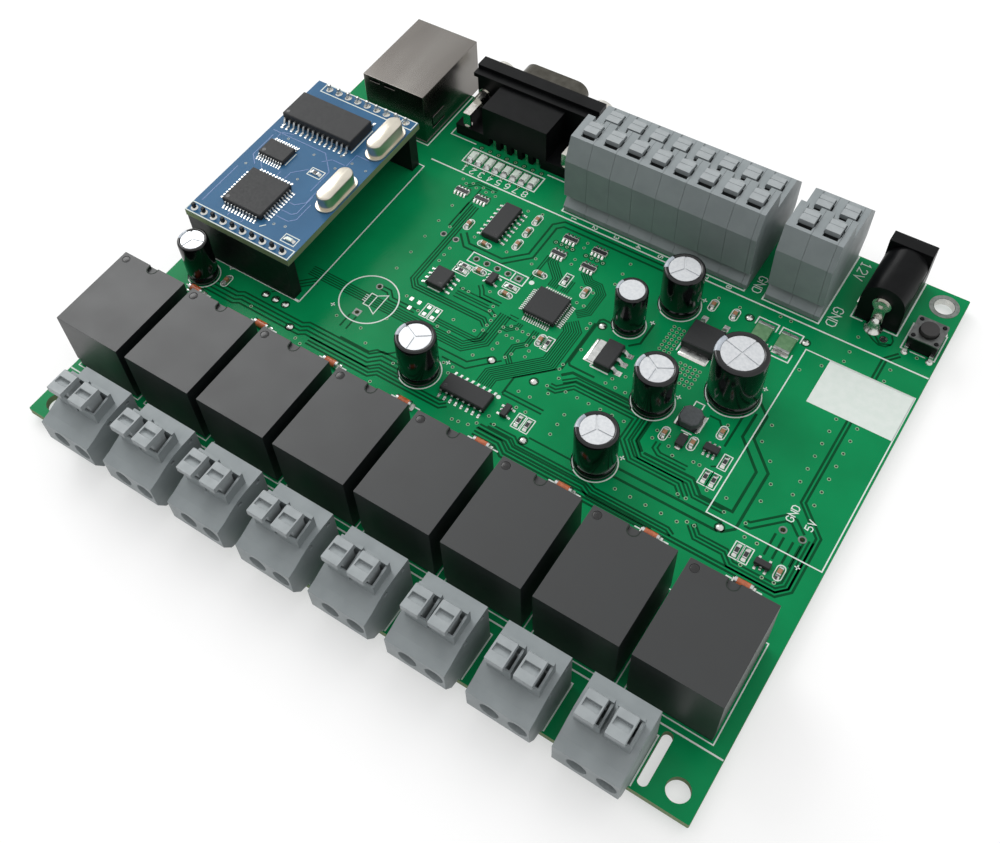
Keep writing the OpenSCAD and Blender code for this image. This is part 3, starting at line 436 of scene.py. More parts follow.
def plastic_finishes(plastic):
    """Moulded cases, housings, levers, connectors and sleeves."""
    return {
        # The relays' case is near black, and its even satin skin turns grey towards the light
        "relay": moulded("moulded_black_polyester_relay_case", (plastic.relay, plastic.relay_shade), 6.0,
                         (0.43, 0.47), 0.012, 0.35, 0.75),
        # The housings are a cool grey with a satin skin, and the levers a lighter one
        "housing": moulded("moulded_grey_polyamide_housing", (plastic.housing, plastic.housing_shade), 4.0,
                           (0.42, 0.55), 0.01, 0.3),
        "lever": lever_plastic("lever", plastic),
        # The black connectors gloss a little more than the strips and the button
        "black": moulded("moulded_black_polyester_connector", ("#08090a", "#0c0d0e"), 3.0, (0.32, 0.4),
                         0.01, 0.3, 0.13),
        "strip": moulded("moulded_black_header_strip", ("#08090a", "#0c0d0e"), 2.0,
                         (0.4, 0.5), 0.01, 0.3, 0.25),
        "button": moulded("moulded_black_switch_button", ("#1b1a1a", "#232121"), 1.5, (0.45, 0.6), 0.01, 0.3),
        # The shrunk sleeve has a wet gloss and a slow ripple, its stripe is plain grey and its bung is matt
        "sleeve": moulded("shrunk_black_polyester_sleeve", ("#07080a", "#0b0c0e"), 4.0, (0.12, 0.18), 0.02,
                          2.5, 0.45, 0.15),
        "stripe": moulded("printed_grey_sleeve_stripe", ("#9aa3ad", "#b9c0c8"), 1.5, (0.16, 0.28), 0.02, 2.0),
        "rubber": moulded("pressed_rubber_bung", ("#1b1a19", "#242322"), 1.0, (0.6, 0.75)),
    }


def chip_finishes():
    """Bodies of the chips and of the small parts."""
    return {
        # Moulded epoxy is a matt charcoal, and a gate mark or first-pin dimple in it is polished
        "epoxy": moulded("moulded_black_epoxy_chip", ("#1e1f20", "#252627"), 0.5,
                         (0.5, 0.62), 0.015, 0.15, 0.4),
        "dimple": moulded("polished_chip_dimple", ("#121213", "#161617"), 0.5, (0.25, 0.3)),
        # A chip resistor is a white ceramic under a black glaze, and a chip capacitor a tan ceramic
        "alumina": moulded("sintered_alumina_body", ("#d8d6cf", "#e6e4de"), 0.4, (0.5, 0.6)),
        "resistor": moulded("glazed_black_resistor_film", ("#17181a", "#222427"), 0.4, (0.25, 0.4)),
        "ceramic": moulded("sintered_tan_titanate_body", ("#8f6749", "#a07657"), 0.3, (0.4, 0.55)),
        # Unlit lights are milky, glass diodes orange, fuses a flat green, and the coil dark grey
        "lens": moulded("moulded_milky_epoxy_lens", ("#cad6cb", "#d6e0d6"), 0.5, (0.2, 0.3)),
        "diode_glass": moulded("orange_glass_diode_body", ("#a3512f", "#bb6a45"), 1.0, (0.08, 0.14)),
        "fuse": moulded("green_laminate_fuse_body", ("#577f59", "#668d66"), 0.8, (0.3, 0.45)),
        "ferrite": moulded("sintered_grey_ferrite_coil", ("#3d4143", "#4a4e50"), 0.5,
                           (0.5, 0.65), 0.02, 0.15),
    }


def lever_plastic(name, plastic):
    """Light grey polyamide with a satin skin. Each tier's tabs have a copy of their own, with shade painted
    under the lip.
    """
    return moulded("moulded_light_grey_polyamide_" + name, (plastic.lever, plastic.lever_shade), 2.0,
                   (0.38, 0.5), 0.01, 0.3)


# ---------- layout: places on the board in millimetres ----------

# Copper-free lines in the green planes: (path, number of tracks between them, pitch, width of a line)
TRACKS = (
    (((9, 42.0), (16.6, 42.0), (17.8, 42.7), (33, 42.7), (34.2, 43.5), (49, 43.5), (51, 45.3), (56.5, 45.3)),
     3, 0.95, 0.32),
    (((36, 41.2), (50.8, 41.2), (52.2, 42.4), (66.6, 42.4), (67.6, 43.3)), 2, 0.8, 0.32),
    (((40, 47.4), (40, 50.9)), 1, 1.5, 0.28),
    (((41, 45.3), (48, 45.3), (49.2, 46.5), (51.2, 46.5), (53, 48.3)), 0, 1, 0.32),
    (((75.6, 42.4), (81.7, 42.4), (83.2, 41.4), (98.2, 41.4), (99.8, 40.5), (131.4, 40.5), (135.4, 40.5),
      (137.3, 42.5), (137.3, 53.8), (132.2, 58.9), (132.2, 94.9), (134.2, 97.3)), 1, 0.75, 0.34),
    (((75.4, 41.0), (80.6, 41.0), (82.6, 39.6), (112.4, 39.6)), 2, 0.8, 0.34),
    (((77, 43.5), (82.4, 43.5), (83.6, 42.6), (98.4, 42.6), (100.2, 41.9), (114.8, 41.9), (116, 41.2)),
     1, 0.7, 0.3),
    (((84.8, 45), (94, 45)), 0, 1, 0.3),
    (((101.6, 47), (122.2, 47)), 1, 1.9, 0.4),
    (((117.9, 44.9), (119.6, 43.2), (125, 43.2), (126.7, 41.6), (135, 41.6), (136.2, 42.8), (136.2, 52.6)),
     2, 0.7, 0.3),
    (((112, 78.5), (116.3, 74.6), (119.3, 71.8), (119.3, 66.3), (124.6, 61), (124.6, 48), (122.7, 46.2)),
     0, 1, 0.42),
    (((117.4, 71.4), (117.4, 65.6), (122.7, 60.2), (122.7, 50.8), (116.5, 50.8), (114, 53.2), (104, 53.2)),
     0, 1, 0.42),
    (((125.6, 50.0), (126.4, 50.0), (131.1, 54.7), (132.5, 54.7), (134.6, 52.8)), 1, 1.15, 0.34),
    (((131.5, 51), (131.5, 46.2)), 1, 1.5, 0.34),
    (((134.6, 51), (134.6, 46.3)), 1, 1.3, 0.34),
    (((25.5, 55.9), (62.7, 55.9), (65.9, 59.1), (65.9, 66.8)), 4, 0.55, 0.22),
    (((54.4, 58.5), (64, 58.5), (64.6, 59.1), (64.6, 61.2)), 2, 0.55, 0.22),
    (((40.2, 59.6), (42.6, 59.6), (44, 58.2), (50, 58.2)), 1, 0.9, 0.28),
    (((57.2, 53.3), (65.6, 53.3), (68.8, 56.5)), 0, 1, 0.3),
    (((60.8, 51.8), (66.2, 51.8), (71.2, 57)), 0, 1, 0.3),
    (((71.2, 50.4), (71.2, 53.2), (79.2, 61.2), (79.2, 70.1), (77.5, 71.9)), 7, 0.46, 0.2),
    (((75.3, 50.7), (75.3, 54.9), (81.9, 61.5), (81.9, 74.2)), 0, 1, 0.34),
    (((75.4, 51), (84, 51)), 1, 0.9, 0.3),
    (((90.4, 75.8), (82.8, 75.8), (82.3, 75.3), (82.3, 63.4), (82.8, 62.9), (88.2, 62.9)), 0, 1, 0.36),
    (((91.7, 80.2), (91.7, 74.4), (90, 72.7)), 0, 1, 0.36),
    (((82, 56.7), (83.4, 56.7), (86, 59.3), (99.6, 59.3), (99.6, 53.9), (102.6, 50.9), (112.2, 50.9),
      (114.2, 48.9)),
     2, 0.75, 0.3),
    (((82.6, 60.1), (84.2, 61.7), (101.9, 61.7), (101.9, 54.9), (103.6, 53.2)), 0, 1, 0.5),
    (((83.6, 58.9), (85.6, 60.7), (101.2, 60.7), (101.2, 54.6), (103.8, 52.0), (113.6, 52.0), (115.6, 50.0),
      (121.5, 50.0)), 1, 0.7, 0.3),
    (((46.7, 80.5), (49.1, 78), (57.6, 78), (62, 82.4), (62, 91.8), (63.5, 93.3), (87.4, 93.3)),
     1, 1.3, 0.36),
    (((44.9, 88), (44.9, 65), (46.3, 63.5), (62.6, 63.5), (64, 62.4)), 2, 0.62, 0.26),
    (((43.3, 88.4), (43.3, 80.6)), 1, 0.9, 0.3),
    (((54.2, 67.4), (61.8, 67.4)), 1, 0.9, 0.26),
    (((54.2, 65.9), (62.8, 65.9), (64.1, 65.3)), 1, 0.85, 0.26),
    (((57.4, 70.6), (58.4, 69.6), (59.2, 68.4), (63.6, 68.4)), 1, 0.8, 0.26),
    (((66.7, 84.4), (66.7, 83.2), (69.9, 80), (69.9, 77.6)), 4, 0.46, 0.2),
    (((73.7, 84.3), (75.6, 82.5), (77.8, 82.5), (79.3, 81), (79.3, 75.8), (77.6, 74.1)), 4, 0.42, 0.2),
    (((72.6, 81), (72.6, 77.6)), 3, 0.46, 0.2),
    (((65.2, 77), (65.2, 84.4)), 1, 0.5, 0.22),
    (((69.6, 66.5), (69.6, 65.6), (68, 63.9), (67.2, 63.9)), 2, 0.46, 0.2),
    (((73.2, 66.5), (73.2, 62.8), (71.4, 61), (71.4, 58.6), (72.8, 57.2)), 2, 0.5, 0.22),
    (((66.6, 66.9), (68.6, 66.9)), 1, 0.8, 0.2),
    (((40, 92.2), (41.6, 93.9), (46.4, 93.9)), 1, 0.6, 0.24),
    (((43.0, 84.6), (43.0, 93)), 0, 1, 0.24),
    (((105.2, 56.6), (105.2, 55.2), (106.4, 54.4), (112, 54.4)), 1, 0.8, 0.28),
    (((110.4, 66.6), (112.4, 66.6), (113.2, 65.6)), 0, 1, 0.3),
    (((115.6, 62), (115.6, 70)), 0, 1, 0.34),
    (((115.4, 57), (116.4, 57.6), (116.4, 60.5)), 0, 1, 0.26),
    (((126.8, 101.0), (129.9, 97.9), (131.9, 98.7)), 0, 1, 0.32),
    (((21.5, 47.6), (28.4, 54.2)), 2, 0.8, 0.26),
)
VIAS = (
    [(40.3, 65.4 + 5.08 * k) for k in range(5)] + [(85.3 + 2.48 * k, 57.2) for k in range(6)]
    + [(87.7, 47.7 + 2.5 * k) for k in range(3)] + [(103.3 + 3.05 * k, 44.0) for k in range(5)]
    + [(x, 59.4 + 3.08 * k) for x in (130.0, 134.0) for k in range(7)]
    + [(95.3 + 1.04 * i, 75.3 + 1.02 * j) for i in range(3) for j in range(7)]
    + [(100.3 + 1.02 * i, 72.3 + 1.02 * j) for i in range(5) for j in range(3)]
    + [(102.3 + 1.02 * i, 70.1 + 1.0 * j) for i in range(3) for j in range(2)]
    + [(64.1, 61.3 + 1.4 * k) for k in range(4)] + [(68.3 + 1.3 * k, 65.0) for k in range(5)]
    + [(67.1, 62.7), (67.1, 64.0), (68.7, 62.6), (70, 62.6), (71.3, 62.6), (73.3, 62.6), (68.2, 60.1),
       (68.2, 58.4), (70.5, 40.9), (71.8, 41.1), (73.7, 41.5), (74.9, 42.6), (77.8, 44.0), (76, 45.1),
       (82.6, 59.2), (82.7, 55.2), (81.6, 56.6), (77.7, 52.7), (80.2, 52.7), (79.3, 49.4), (81.3, 49.4),
       (37.2, 49.1), (43.2, 49.1), (46.2, 53.7), (46.2, 46.6), (53.7, 45.5), (55.9, 57.4), (58.6, 57.4),
       (50.4, 58.6), (61.9, 50.8), (64, 50.8), (64, 49.2), (65.7, 55.2), (71.3, 58.0), (71.9, 59.3),
       (81.1, 73.6), (81.1, 72.2), (81.6, 62.4), (81.6, 61.1), (74.4, 61.7), (74.5, 60.1), (120.8, 70.6),
       (120.8, 66.5), (123.8, 63.5), (125.9, 59.3), (125.9, 55.3), (126, 97.3), (126, 93.2), (126, 90.6),
       (134, 93.2), (134, 90.2), (111.5, 94.2), (113.7, 94.2), (122.9, 87.5), (119.8, 84.5), (126.6, 47.5),
       (128.9, 47.5), (117, 44.9), (118.4, 44.9), (113.1, 48.9), (114.7, 48.9), (121.5, 50.0), (125.6, 50.0),
       (120.6, 52.7), (117, 52.3), (112.4, 56.2), (113.6, 56.2), (106.2, 58.7), (107.1, 56.8), (103.8, 58.7),
       (103.8, 56.8), (108.6, 55.4), (132.3, 42.2), (128.3, 42.4), (134.4, 42.4), (62.6, 67.3), (62.6, 66.0),
       (54.9, 68.0), (56.3, 67.9), (60, 70.1), (46.6, 75.5), (46.6, 73.4), (46.6, 71.6), (43.3, 80.4),
       (46.3, 60.5), (57.7, 60.4), (62.7, 60.3), (49.3, 80.7), (57.2, 80.7), (63.3, 82.2), (63.3, 80.6),
       (70.2, 86.2), (70.2, 84.7), (80.3, 84.7), (80.3, 87.8), (70.2, 91.3), (70.2, 89.8), (80.4, 90.9),
       (75.1, 80.5), (77.7, 80.5), (76.2, 76.7), (77.8, 76.7), (90.6, 62.9), (92.7, 62.9), (94.8, 62.9),
       (91.2, 64.4), (93.1, 66.1), (82.8, 67.2), (114.1, 66.4), (137.1, 98.3), (99.4, 92.2), (103.9, 92.2),
       (58.1, 93.3), (55.0, 92.6), (20.9, 41.9), (33.6, 40.3), (35.2, 39.7), (52.4, 39.7)]
    + [(38 + 1.3 * k, 93.4 - 0.8 * (k % 2)) for k in range(4)]
    + [(43.2 + 1.2 * k, 93.4 - 0.8 * (k % 2)) for k in range(4)]
    + [(64.5 + 1.3 * k, 88.2) for k in range(4)] + [(71.6 + 1.3 * k, 88.2) for k in range(4)]
    + [(36.3 + 2.2 * k, y) for k in range(8) for y in (97.6, 103.3)]
)
# Holes of the board filled with solder
SOLDERED_HOLES = ((21.5, 45.9), (24.1, 45.9), (26.6, 45.9), (30.9, 41.9), (69.5, 56.1), (79, 56.1),
                  (84.2, 43.9), (83.4, 74.3), (122.2, 46.9), (106.6, 90.9), (118.2, 90.9))
# Chip capacitors and chip resistors of 1.6 x 0.8 mm: those along the board's depth, and those across it
CHIP_CAPACITORS = (
    ((12.3, 44.4), (46.4, 83), (58.1, 83.5), (58.1, 87.5), (58.1, 91.3), (76.4, 79.8), (75, 65), (99.3, 90),
     (103.9, 90), (105.2, 58.8), (110.5, 59.5), (114, 64.4), (134.4, 44.5)),
    ((52.2, 80), (66.2, 79.1), (55.3, 73.4), (63, 71.1)),
)
CHIP_RESISTORS = (
    ((71.5, 80.6), (76.6, 65), (81.3, 47), (83.2, 47), (115.6, 54.5), (117.2, 54.5), (117.2, 59),
     (126.6, 44.5), (128.3, 44.5)),
    ((52, 73), (52, 71.6), (63, 73.2)),
)
EMPTY_RESISTOR_PADS = ((51.9, 59.5), (53.8, 59.5))
RESISTOR_ARRAYS = ((39.9, 90.2), (44.9, 90.2), (66.8, 90.3), (73.6, 90.3), (66.7, 85.6), (73.7, 85.6))
# Electrolytic capacitors: x, y, diameter, height, number of vent scores, their turn in degrees
CAPACITORS = (
    (7.15, 43.3, 6.3, 11, 3, 15), (59.1, 46.8, 8, 11, 3, 35), (97.5, 46.9, 8, 11, 3, 0),
    (87.6, 77.2, 6.3, 11, 0, 0), (100, 63.8, 8, 10.8, 3, 30), (93.6, 86.8, 8, 11, 3, -5),
    (111.8, 73.1, 10, 13, 4, -16),
)
PLUS_SIGNS = ((10.9, 47.6), (62.7, 51.2), (101.3, 50.2), (91.3, 80), (103.7, 67.2), (97.3, 90.2),
              (116.4, 77.2), (34.8, 51), (136.5, 47))
# Chips on the main board: kind, x, y, turn
CHIPS = (
    ("quad48", 71.98, 72.35, 0), ("row16", 69.9, 46.9, 0), ("row16", 52.4, 86.5, 90),
    ("row8", 49.95, 67.3, 90), ("small5", 58.8, 72.8, 90), ("small3", 78.2, 47.5, 90),
    ("small3", 131.4, 44.3, 180), ("small6", 114, 60, 0),
)
POWER_CHIPS = (("tab3", 88.3, 68.3, 90), ("tab2", 101.7, 80.75, 180))
# Chip packages: body length, width and height, leads in a row, pitch, lead width, span over the leads
PACKAGES = {
    "quad48": (7, 7, 1.5, 12, 0.5, 0.24, 9), "quad44": (10, 10, 1.5, 11, 0.8, 0.35, 12),
    "row16": (9.9, 3.9, 1.6, 8, 1.27, 0.42, 6), "row8": (4.9, 3.9, 1.6, 4, 1.27, 0.42, 6),
    "row28": (17.9, 7.5, 2.6, 14, 1.27, 0.42, 10.4), "row20": (6.5, 4.4, 1.2, 10, 0.65, 0.25, 6.4),
    "small3": (2.9, 1.3, 1.0, 2, 1.9, 0.4, 2.4), "small5": (2.9, 1.6, 1.1, 2, 1.9, 0.4, 2.8),
    "small6": (2.9, 1.6, 1.1, 3, 0.95, 0.4, 2.8),
}
# Power packages: body length, width and height, places of the leads, lead width, lead reach, tab length
POWER_PACKAGES = {
    "tab3": (6.5, 3.5, 1.7, (-2.3, 0, 2.3), 0.75, 1.7, 1.7),
    "tab2": (6.5, 6.1, 2.3, (-2.28, 2.28), 0.8, 2.6, 1.2),
}
# Heights over the board that print, tracks, via rims and pads rise to, and the depth that all start at
INK_TOP = 0.035
TRACK_TOP = 0.012
RIM_TOP = 0.02
PAD_TOP = 0.05
SUNK = -0.05
# Width of a printed line and of a figure's strokes
INK_LINE = 0.22
STROKE = 0.2
# How much wider than its stated width a line between tracks is etched
ETCHED_WIDER = 1.3

# Printed lines that aren't worked out from a part: (width, path)
ZONE_LINES = (
    (0.3, ((0.1, 11.37), (BOARD_SIZE[0] - 0.1, 11.37))),
    (0.32, ((28.6, 94.93), (BOARD_SIZE[0] - 0.1, 94.93))),
)
CONNECTOR_LINES = (
    # Network jack, then serial port
    (0.26, ((9.0, 97.9), (25.5, 97.9), (25.5, 116))), (0.26, ((27.9, 116), (27.9, 103.7), (34.6, 103.7))),
    (0.3, ((53, 103.7), (57.4, 103.7))),
    # Power jack, then reset switch
    (0.28, ((122.8, 104.6), (122.8, 101.25), (125.2, 101.25))),
    (0.28, ((129.0, 101.25), (132.0, 101.25), (132.0, 116.2))),
    (0.26, ((133.6, 106), (133.6, 99.1), (134.6, 99.1))), (0.2, ((135.4, 99.1), (138.4, 99.1))),
    (0.26, ((139.4, 99.1), (140.1, 99.1), (140.1, 106))),
)
# The speaker sign inside the buzzer's ring: its box, its cone and its four short strokes
SPEAKER_BOX = ((39.9, 57.4), (41.3, 57.4), (41.3, 54.3), (39.9, 54.3))
SPEAKER_CONE = ((41.3, 57.4), (43.2, 58.6), (43.2, 53.2), (41.3, 54.3))
SPEAKER_STROKES = (56.6, 56.1, 55.6, 55.1)
CHIP_LINES = (
    (0.26, ((48.5, 64.7), (51.4, 64.7))), (0.3, ((86.1, 64.8), (90, 64.8))),
    (0.3, ((86.1, 64.8), (86.1, 65.8))), (0.26, ((98.2, 76.6), (98.2, 79.9))),
    (0.26, ((107.4, 61.1), (109.5, 61.1))), (0.22, ((110.4, 66.0), (110.4, 62.2))),
    (0.22, ((106.9, 66.9), (106.9, 68.1), (108.6, 68.1), (108.6, 66.9))),
)
# Discs beside the first pins: (radius, place)
FIRST_PIN_DISCS = ((0.55, (65.9, 76.4)), (0.45, (75.2, 49.6)))
# Generic figures: text, x, y, height, turn
FIGURES = (
    ("GND", 104.7, 99.4, 1.7, -90), ("GND", 120.3, 99.5, 1.9, -90), ("12V", 120.3, 112.9, 1.9, -90),
    ("GND", 131.6, 56.0, 1.3, 90), ("5V", 135.1, 55.4, 1.3, 90),
)

# Strokes of the generic figures on a grid 2 wide and 3 high
GLYPHS = {
    "1": [[(0.4, 2.4), (1, 3), (1, 0)], [(0.3, 0), (1.7, 0)]],
    "2": [[(0, 2.4), (0.5, 3), (1.5, 3), (2, 2.4), (2, 1.9), (0, 0), (2, 0)]],
    "3": [[(0, 2.5), (0.5, 3), (1.5, 3), (2, 2.5), (2, 2), (1.5, 1.6), (2, 1.1), (2, 0.5), (1.5, 0), (0.5, 0),
           (0, 0.5)]],
    "4": [[(1.5, 0), (1.5, 3), (0, 1), (2, 1)]],
    "5": [[(2, 3), (0.2, 3), (0, 1.7), (1.4, 1.8), (2, 1.3), (2, 0.6), (1.4, 0), (0.5, 0), (0, 0.4)]],
    "6": [[(1.8, 2.8), (1.2, 3), (0.6, 2.8), (0, 1.9), (0, 0.6), (0.5, 0), (1.5, 0), (2, 0.6), (2, 1.1),
           (1.5, 1.7), (0.5, 1.7), (0, 1.2)]],
    "7": [[(0, 3), (2, 3), (0.8, 0)]],
    "8": [[(0.5, 1.6), (0, 2.1), (0, 2.5), (0.5, 3), (1.5, 3), (2, 2.5), (2, 2.1), (1.5, 1.6), (0.5, 1.6),
           (0, 1.1), (0, 0.5), (0.5, 0), (1.5, 0), (2, 0.5), (2, 1.1), (1.5, 1.6)]],
    "G": [[(2, 2.4), (1.4, 3), (0.6, 3), (0, 2.4), (0, 0.6), (0.6, 0), (1.4, 0), (2, 0.6), (2, 1.4),
           (1.2, 1.4)]],
    "N": [[(0, 0), (0, 3), (2, 0), (2, 3)]],
    "D": [[(0, 0), (0, 3), (1.3, 3), (2, 2.3), (2, 0.7), (1.3, 0), (0, 0)]],
    "V": [[(0, 3), (1, 0), (2, 3)]],
    "+": [[(1, 0.5), (1, 2.5)], [(0, 1.5), (2, 1.5)]],
}


# ---------- parts that are used more than once ----------


def bus(path, tracks, pitch, width):
    """The copper-free lines beside a number of tracks: the path moved sideways by whole pitches, centred."""
    offsets = (np.arange(tracks + 1) - tracks / 2) * pitch
    wide = width * ETCHED_WIDER
    return joined([strip(sidestep(path, offset), wide, SUNK, TRACK_TOP) for offset in offsets])


def figure(text, x, y, height, turn=0.0):
    """A line of strokes for each glyph, scaled to the height, centred on (x, y) and turned by degrees."""
    scale = height / 3
    advance = 2.8
    start = -((len(text) - 1) * advance + 2) / 2
    strokes = []
    for place, glyph in enumerate(text):
        for line in GLYPHS[glyph]:
            path = (np.array(line, float) + [start + place * advance, -1.5]) * scale
            strokes.append(strip(path, STROKE, SUNK, INK_TOP))
    return moved(joined(strokes), x, y, 0, turn)


def ink(path, width=INK_LINE, closed=False, base=0.0):
    """One printed line."""
    return strip(path, width, base + SUNK, base + INK_TOP, closed)


def ink_lines(rows):
    """The printed lines of a table."""
    return [ink(path, width) for width, path in rows]


def ink_box(x0, y0, x1, y1, width=INK_LINE, base=0.0):
    """A printed rectangle."""
    return ink(((x0, y0), (x1, y0), (x1, y1), (x0, y1)), width, True, base)


def gull_lead(inner, tip, height, width):
    """A bent lead: straight out of the body at half its height, down a slope and along the pad. The outline
    of its side is drawn out by the lead's width."""
    low = 0.04
    thick = min(0.18, height * 0.16)
    foot = min(0.55, (tip - inner) * 0.45)
    shoulder = inner + (tip - inner) * 0.22
    middle = height * 0.5
    outline = ((inner - 0.05, middle - thick / 2), (shoulder - thick * 0.4, middle - thick / 2),
               (tip - foot - thick * 0.5, low), (tip, low), (tip, low + thick), (tip - foot, low + thick),
               (shoulder + thick * 0.4, middle + thick / 2), (inner - 0.05, middle + thick / 2))
    return side_profile(outline, -width / 2, width / 2)


def chip(kind, x, y, turn):
    """Body, leads, pads and first-pin dimple of a chip with leads on two or four sides."""
    length, width, height, count, pitch, lead, span = PACKAGES[kind]
    edge = min(0.18, height * 0.12)
    body = joined([
        block(length - 0.12, width - 0.12, 0.1, height * 0.5, radius=0.05),
        loft([at_height(rounded(length, width, 0.08, 1), height * 0.46),
              at_height(rounded(length - 0.06, width - 0.06, 0.08, 1), height - edge),
              at_height(rounded(length - 2 * edge, width - 2 * edge, 0.08, 1), height)]),
    ])
    row = (np.arange(count) - (count - 1) / 2) * pitch
    one = gull_lead(width / 2, span / 2, height, lead)
    pad = block(lead * 1.12, 0.42 * (span - width) / 2 + 0.75, SUNK, PAD_TOP, centre=(0, span / 2 - 0.25))
    places = np.column_stack([row, np.zeros(count)])
    side_leads, side_pads = copies(one, places), copies(pad, places)
    turns = (0, 90, 180, 270) if kind.startswith("quad") else (0, 180)
    leads = joined([moved(side_leads, turn=t) for t in turns])
    if kind == "small5":
        leads = joined([leads, one])
    if kind == "small3":
        leads = joined([moved(side_leads, turn=180), one])
    pads = joined([moved(side_pads, turn=t) for t in turns])
    groups = [(body, "epoxy"), (leads, "lead"), (pads, "solder")]
    if length > 3:
        spot = (-length / 2 + 0.9, -width / 2 + 0.9)
        groups.append((disc(min(0.42, width * 0.1), height - 0.05, height + 0.01, 16, spot), "dimple"))
    return [(moved(shell, x, y, 0, turn), finish) for shell, finish in groups]


def power_chip(kind, x, y, turn):
    """Body, side leads, cooling tab and wetted pads of a power transistor."""
    length, width, height, places, lead, reach, tab = POWER_PACKAGES[kind]
    inner, tip = width / 2, width / 2 + reach
    body = loft([at_height(rounded(length - 0.1, width - 0.1, 0.08, 1), 0.1),
                 at_height(rounded(length, width, 0.08, 1), height * 0.4),
                 at_height(rounded(length - 0.12, width - 0.12, 0.08, 1), height - 0.2),
                 at_height(rounded(length - 0.5, width - 0.5, 0.08, 1), height)])
    leads = copies(moved(gull_lead(inner, tip, height, lead), turn=180), [(place, 0) for place in places])
    reach_pad = block(lead * 1.5, 1.6, SUNK, PAD_TOP, centre=(0, -tip + 0.35))
    pads = copies(reach_pad, [(place, 0) for place in places])
    wide = length * 0.84
    plate = side_profile(((inner - 0.4, 0.04), (inner + tab, 0.04), (inner + tab, 0.42),
                          (inner + tab - 0.1, 0.5), (inner - 0.4, 0.5)), -wide / 2, wide / 2)
    bead = loft([at_height(rounded(wide + 0.5, tab + 0.9, 0.3, 2, (0, inner + tab / 2 + 0.25)), SUNK),
                 at_height(rounded(wide + 0.45, tab + 0.85, 0.3, 2, (0, inner + tab / 2 + 0.25)), 0.1),
                 at_height(rounded(wide - 0.2, tab + 0.3, 0.3, 2, (0, inner + tab / 2 + 0.1)), 0.34)])
    groups = [(body, "epoxy"), (leads, "lead"), (plate, "lead"), (joined([pads, bead]), "solder")]
    return [(moved(shell, x, y, 0, turn), finish) for shell, finish in groups]


def by_finish(groups):
    """Groups of one finish joined, so that a piece has one material slot for each."""
    names = list(dict.fromkeys(name for _, name in groups))
    return [(joined([shell for shell, own in groups if own == name]), FINISHES[name]) for name in names]


def chip_capacitor(turn):
    """A tan ceramic body with tinned ends, each standing in its own fillet of solder."""
    body = block(0.95, 0.8, 0.04, 0.78, 0.05, 0.06)
    ends = joined([block(0.36, 0.84, 0.02, 0.81, 0.07, 0.08, centre=(s * 0.63, 0)) for s in (-1, 1)])
    fillets = joined([loft([at_height(rounded(0.95, 0.95, 0.15, 1, (s * 0.95, 0)), SUNK),
                            at_height(rounded(0.9, 0.9, 0.15, 1, (s * 0.93, 0)), 0.08),
                            at_height(rounded(0.34, 0.74, 0.1, 1, (s * 0.75, 0)), 0.42)]) for s in (-1, 1)])
    groups = ((body, "ceramic"), (ends, "lead"), (fillets, "solder"))
    return [(moved(shell, turn=turn), name) for shell, name in groups]


def chip_resistor(turn):
    """A white alumina body under a black film, with tinned ends in solder fillets."""
    body = block(1.0, 0.8, 0.03, 0.4, 0, 0.03)
    film = block(0.94, 0.7, 0.39, 0.46, 0.02, 0.03)
    ends = joined([block(0.32, 0.83, 0.02, 0.45, 0.04, 0.04, centre=(s * 0.64, 0)) for s in (-1, 1)])
    fillets = joined([loft([at_height(rounded(0.95, 0.9, 0.12, 1, (s * 0.95, 0)), SUNK),
                            at_height(rounded(0.9, 0.86, 0.12, 1, (s * 0.93, 0)), 0.07),
                            at_height(rounded(0.34, 0.72, 0.1, 1, (s * 0.75, 0)), 0.3)]) for s in (-1, 1)])
    groups = ((body, "alumina"), (film, "resistor"), (ends, "lead"), (fillets, "solder"))
    return [(moved(shell, turn=turn), name) for shell, name in groups]


def placed(groups, places):
    """Every group of a small part copied to each place."""
    return [(copies(shell, places), name) for shell, name in groups]


# ---------- sizes and colours that a user would change ----------


class BoardLook(bpy.types.PropertyGroup):
    """Colours of the boards' masks, as sRGB hex."""

    mask: bpy.props.StringProperty(name="Green mask", description="Mask over the copper planes",
                                   default="#08864f")
    mask_shade: bpy.props.StringProperty(name="Green shade", description="Mask where it is thicker",
                                         default="#067c48")
    gap: bpy.props.StringProperty(name="Green gap", description="Mask where no copper lies under it",
                                  default="#084a2a")
    gap_shade: bpy.props.StringProperty(name="Gap shade", description="Darker part of the gaps",
                                        default="#074225")
    blue: bpy.props.StringProperty(name="Blue mask", description="Mask of the controller board",
                                   default="#3a6589")
    blue_shade: bpy.props.StringProperty(name="Blue shade", description="Mask where it is thicker",
                                         default="#345d80")
    laminate: bpy.props.StringProperty(name="Laminate", description="Sawn edge of both boards",
                                       default="#7d8c6a")


class PlasticLook(bpy.types.PropertyGroup):
    """Colours of the moulded parts, as sRGB hex."""

    relay: bpy.props.StringProperty(name="Relay case", description="Case of the relays", default="#0e1213")
    relay_shade: bpy.props.StringProperty(name="Relay shade", description="Darker part of the case",
                                          default="#0c0f10")
    housing: bpy.props.StringProperty(name="Housing", description="Housing of the terminals",
                                      default="#888f91")
    housing_shade: bpy.props.StringProperty(name="Housing shade", description="Darker part of the housing",
                                            default="#82898b")
    lever: bpy.props.StringProperty(name="Lever", description="Levers and tabs", default="#979d9f")
    lever_shade: bpy.props.StringProperty(name="Lever shade", description="Darker part of the levers",
                                          default="#8f9597")


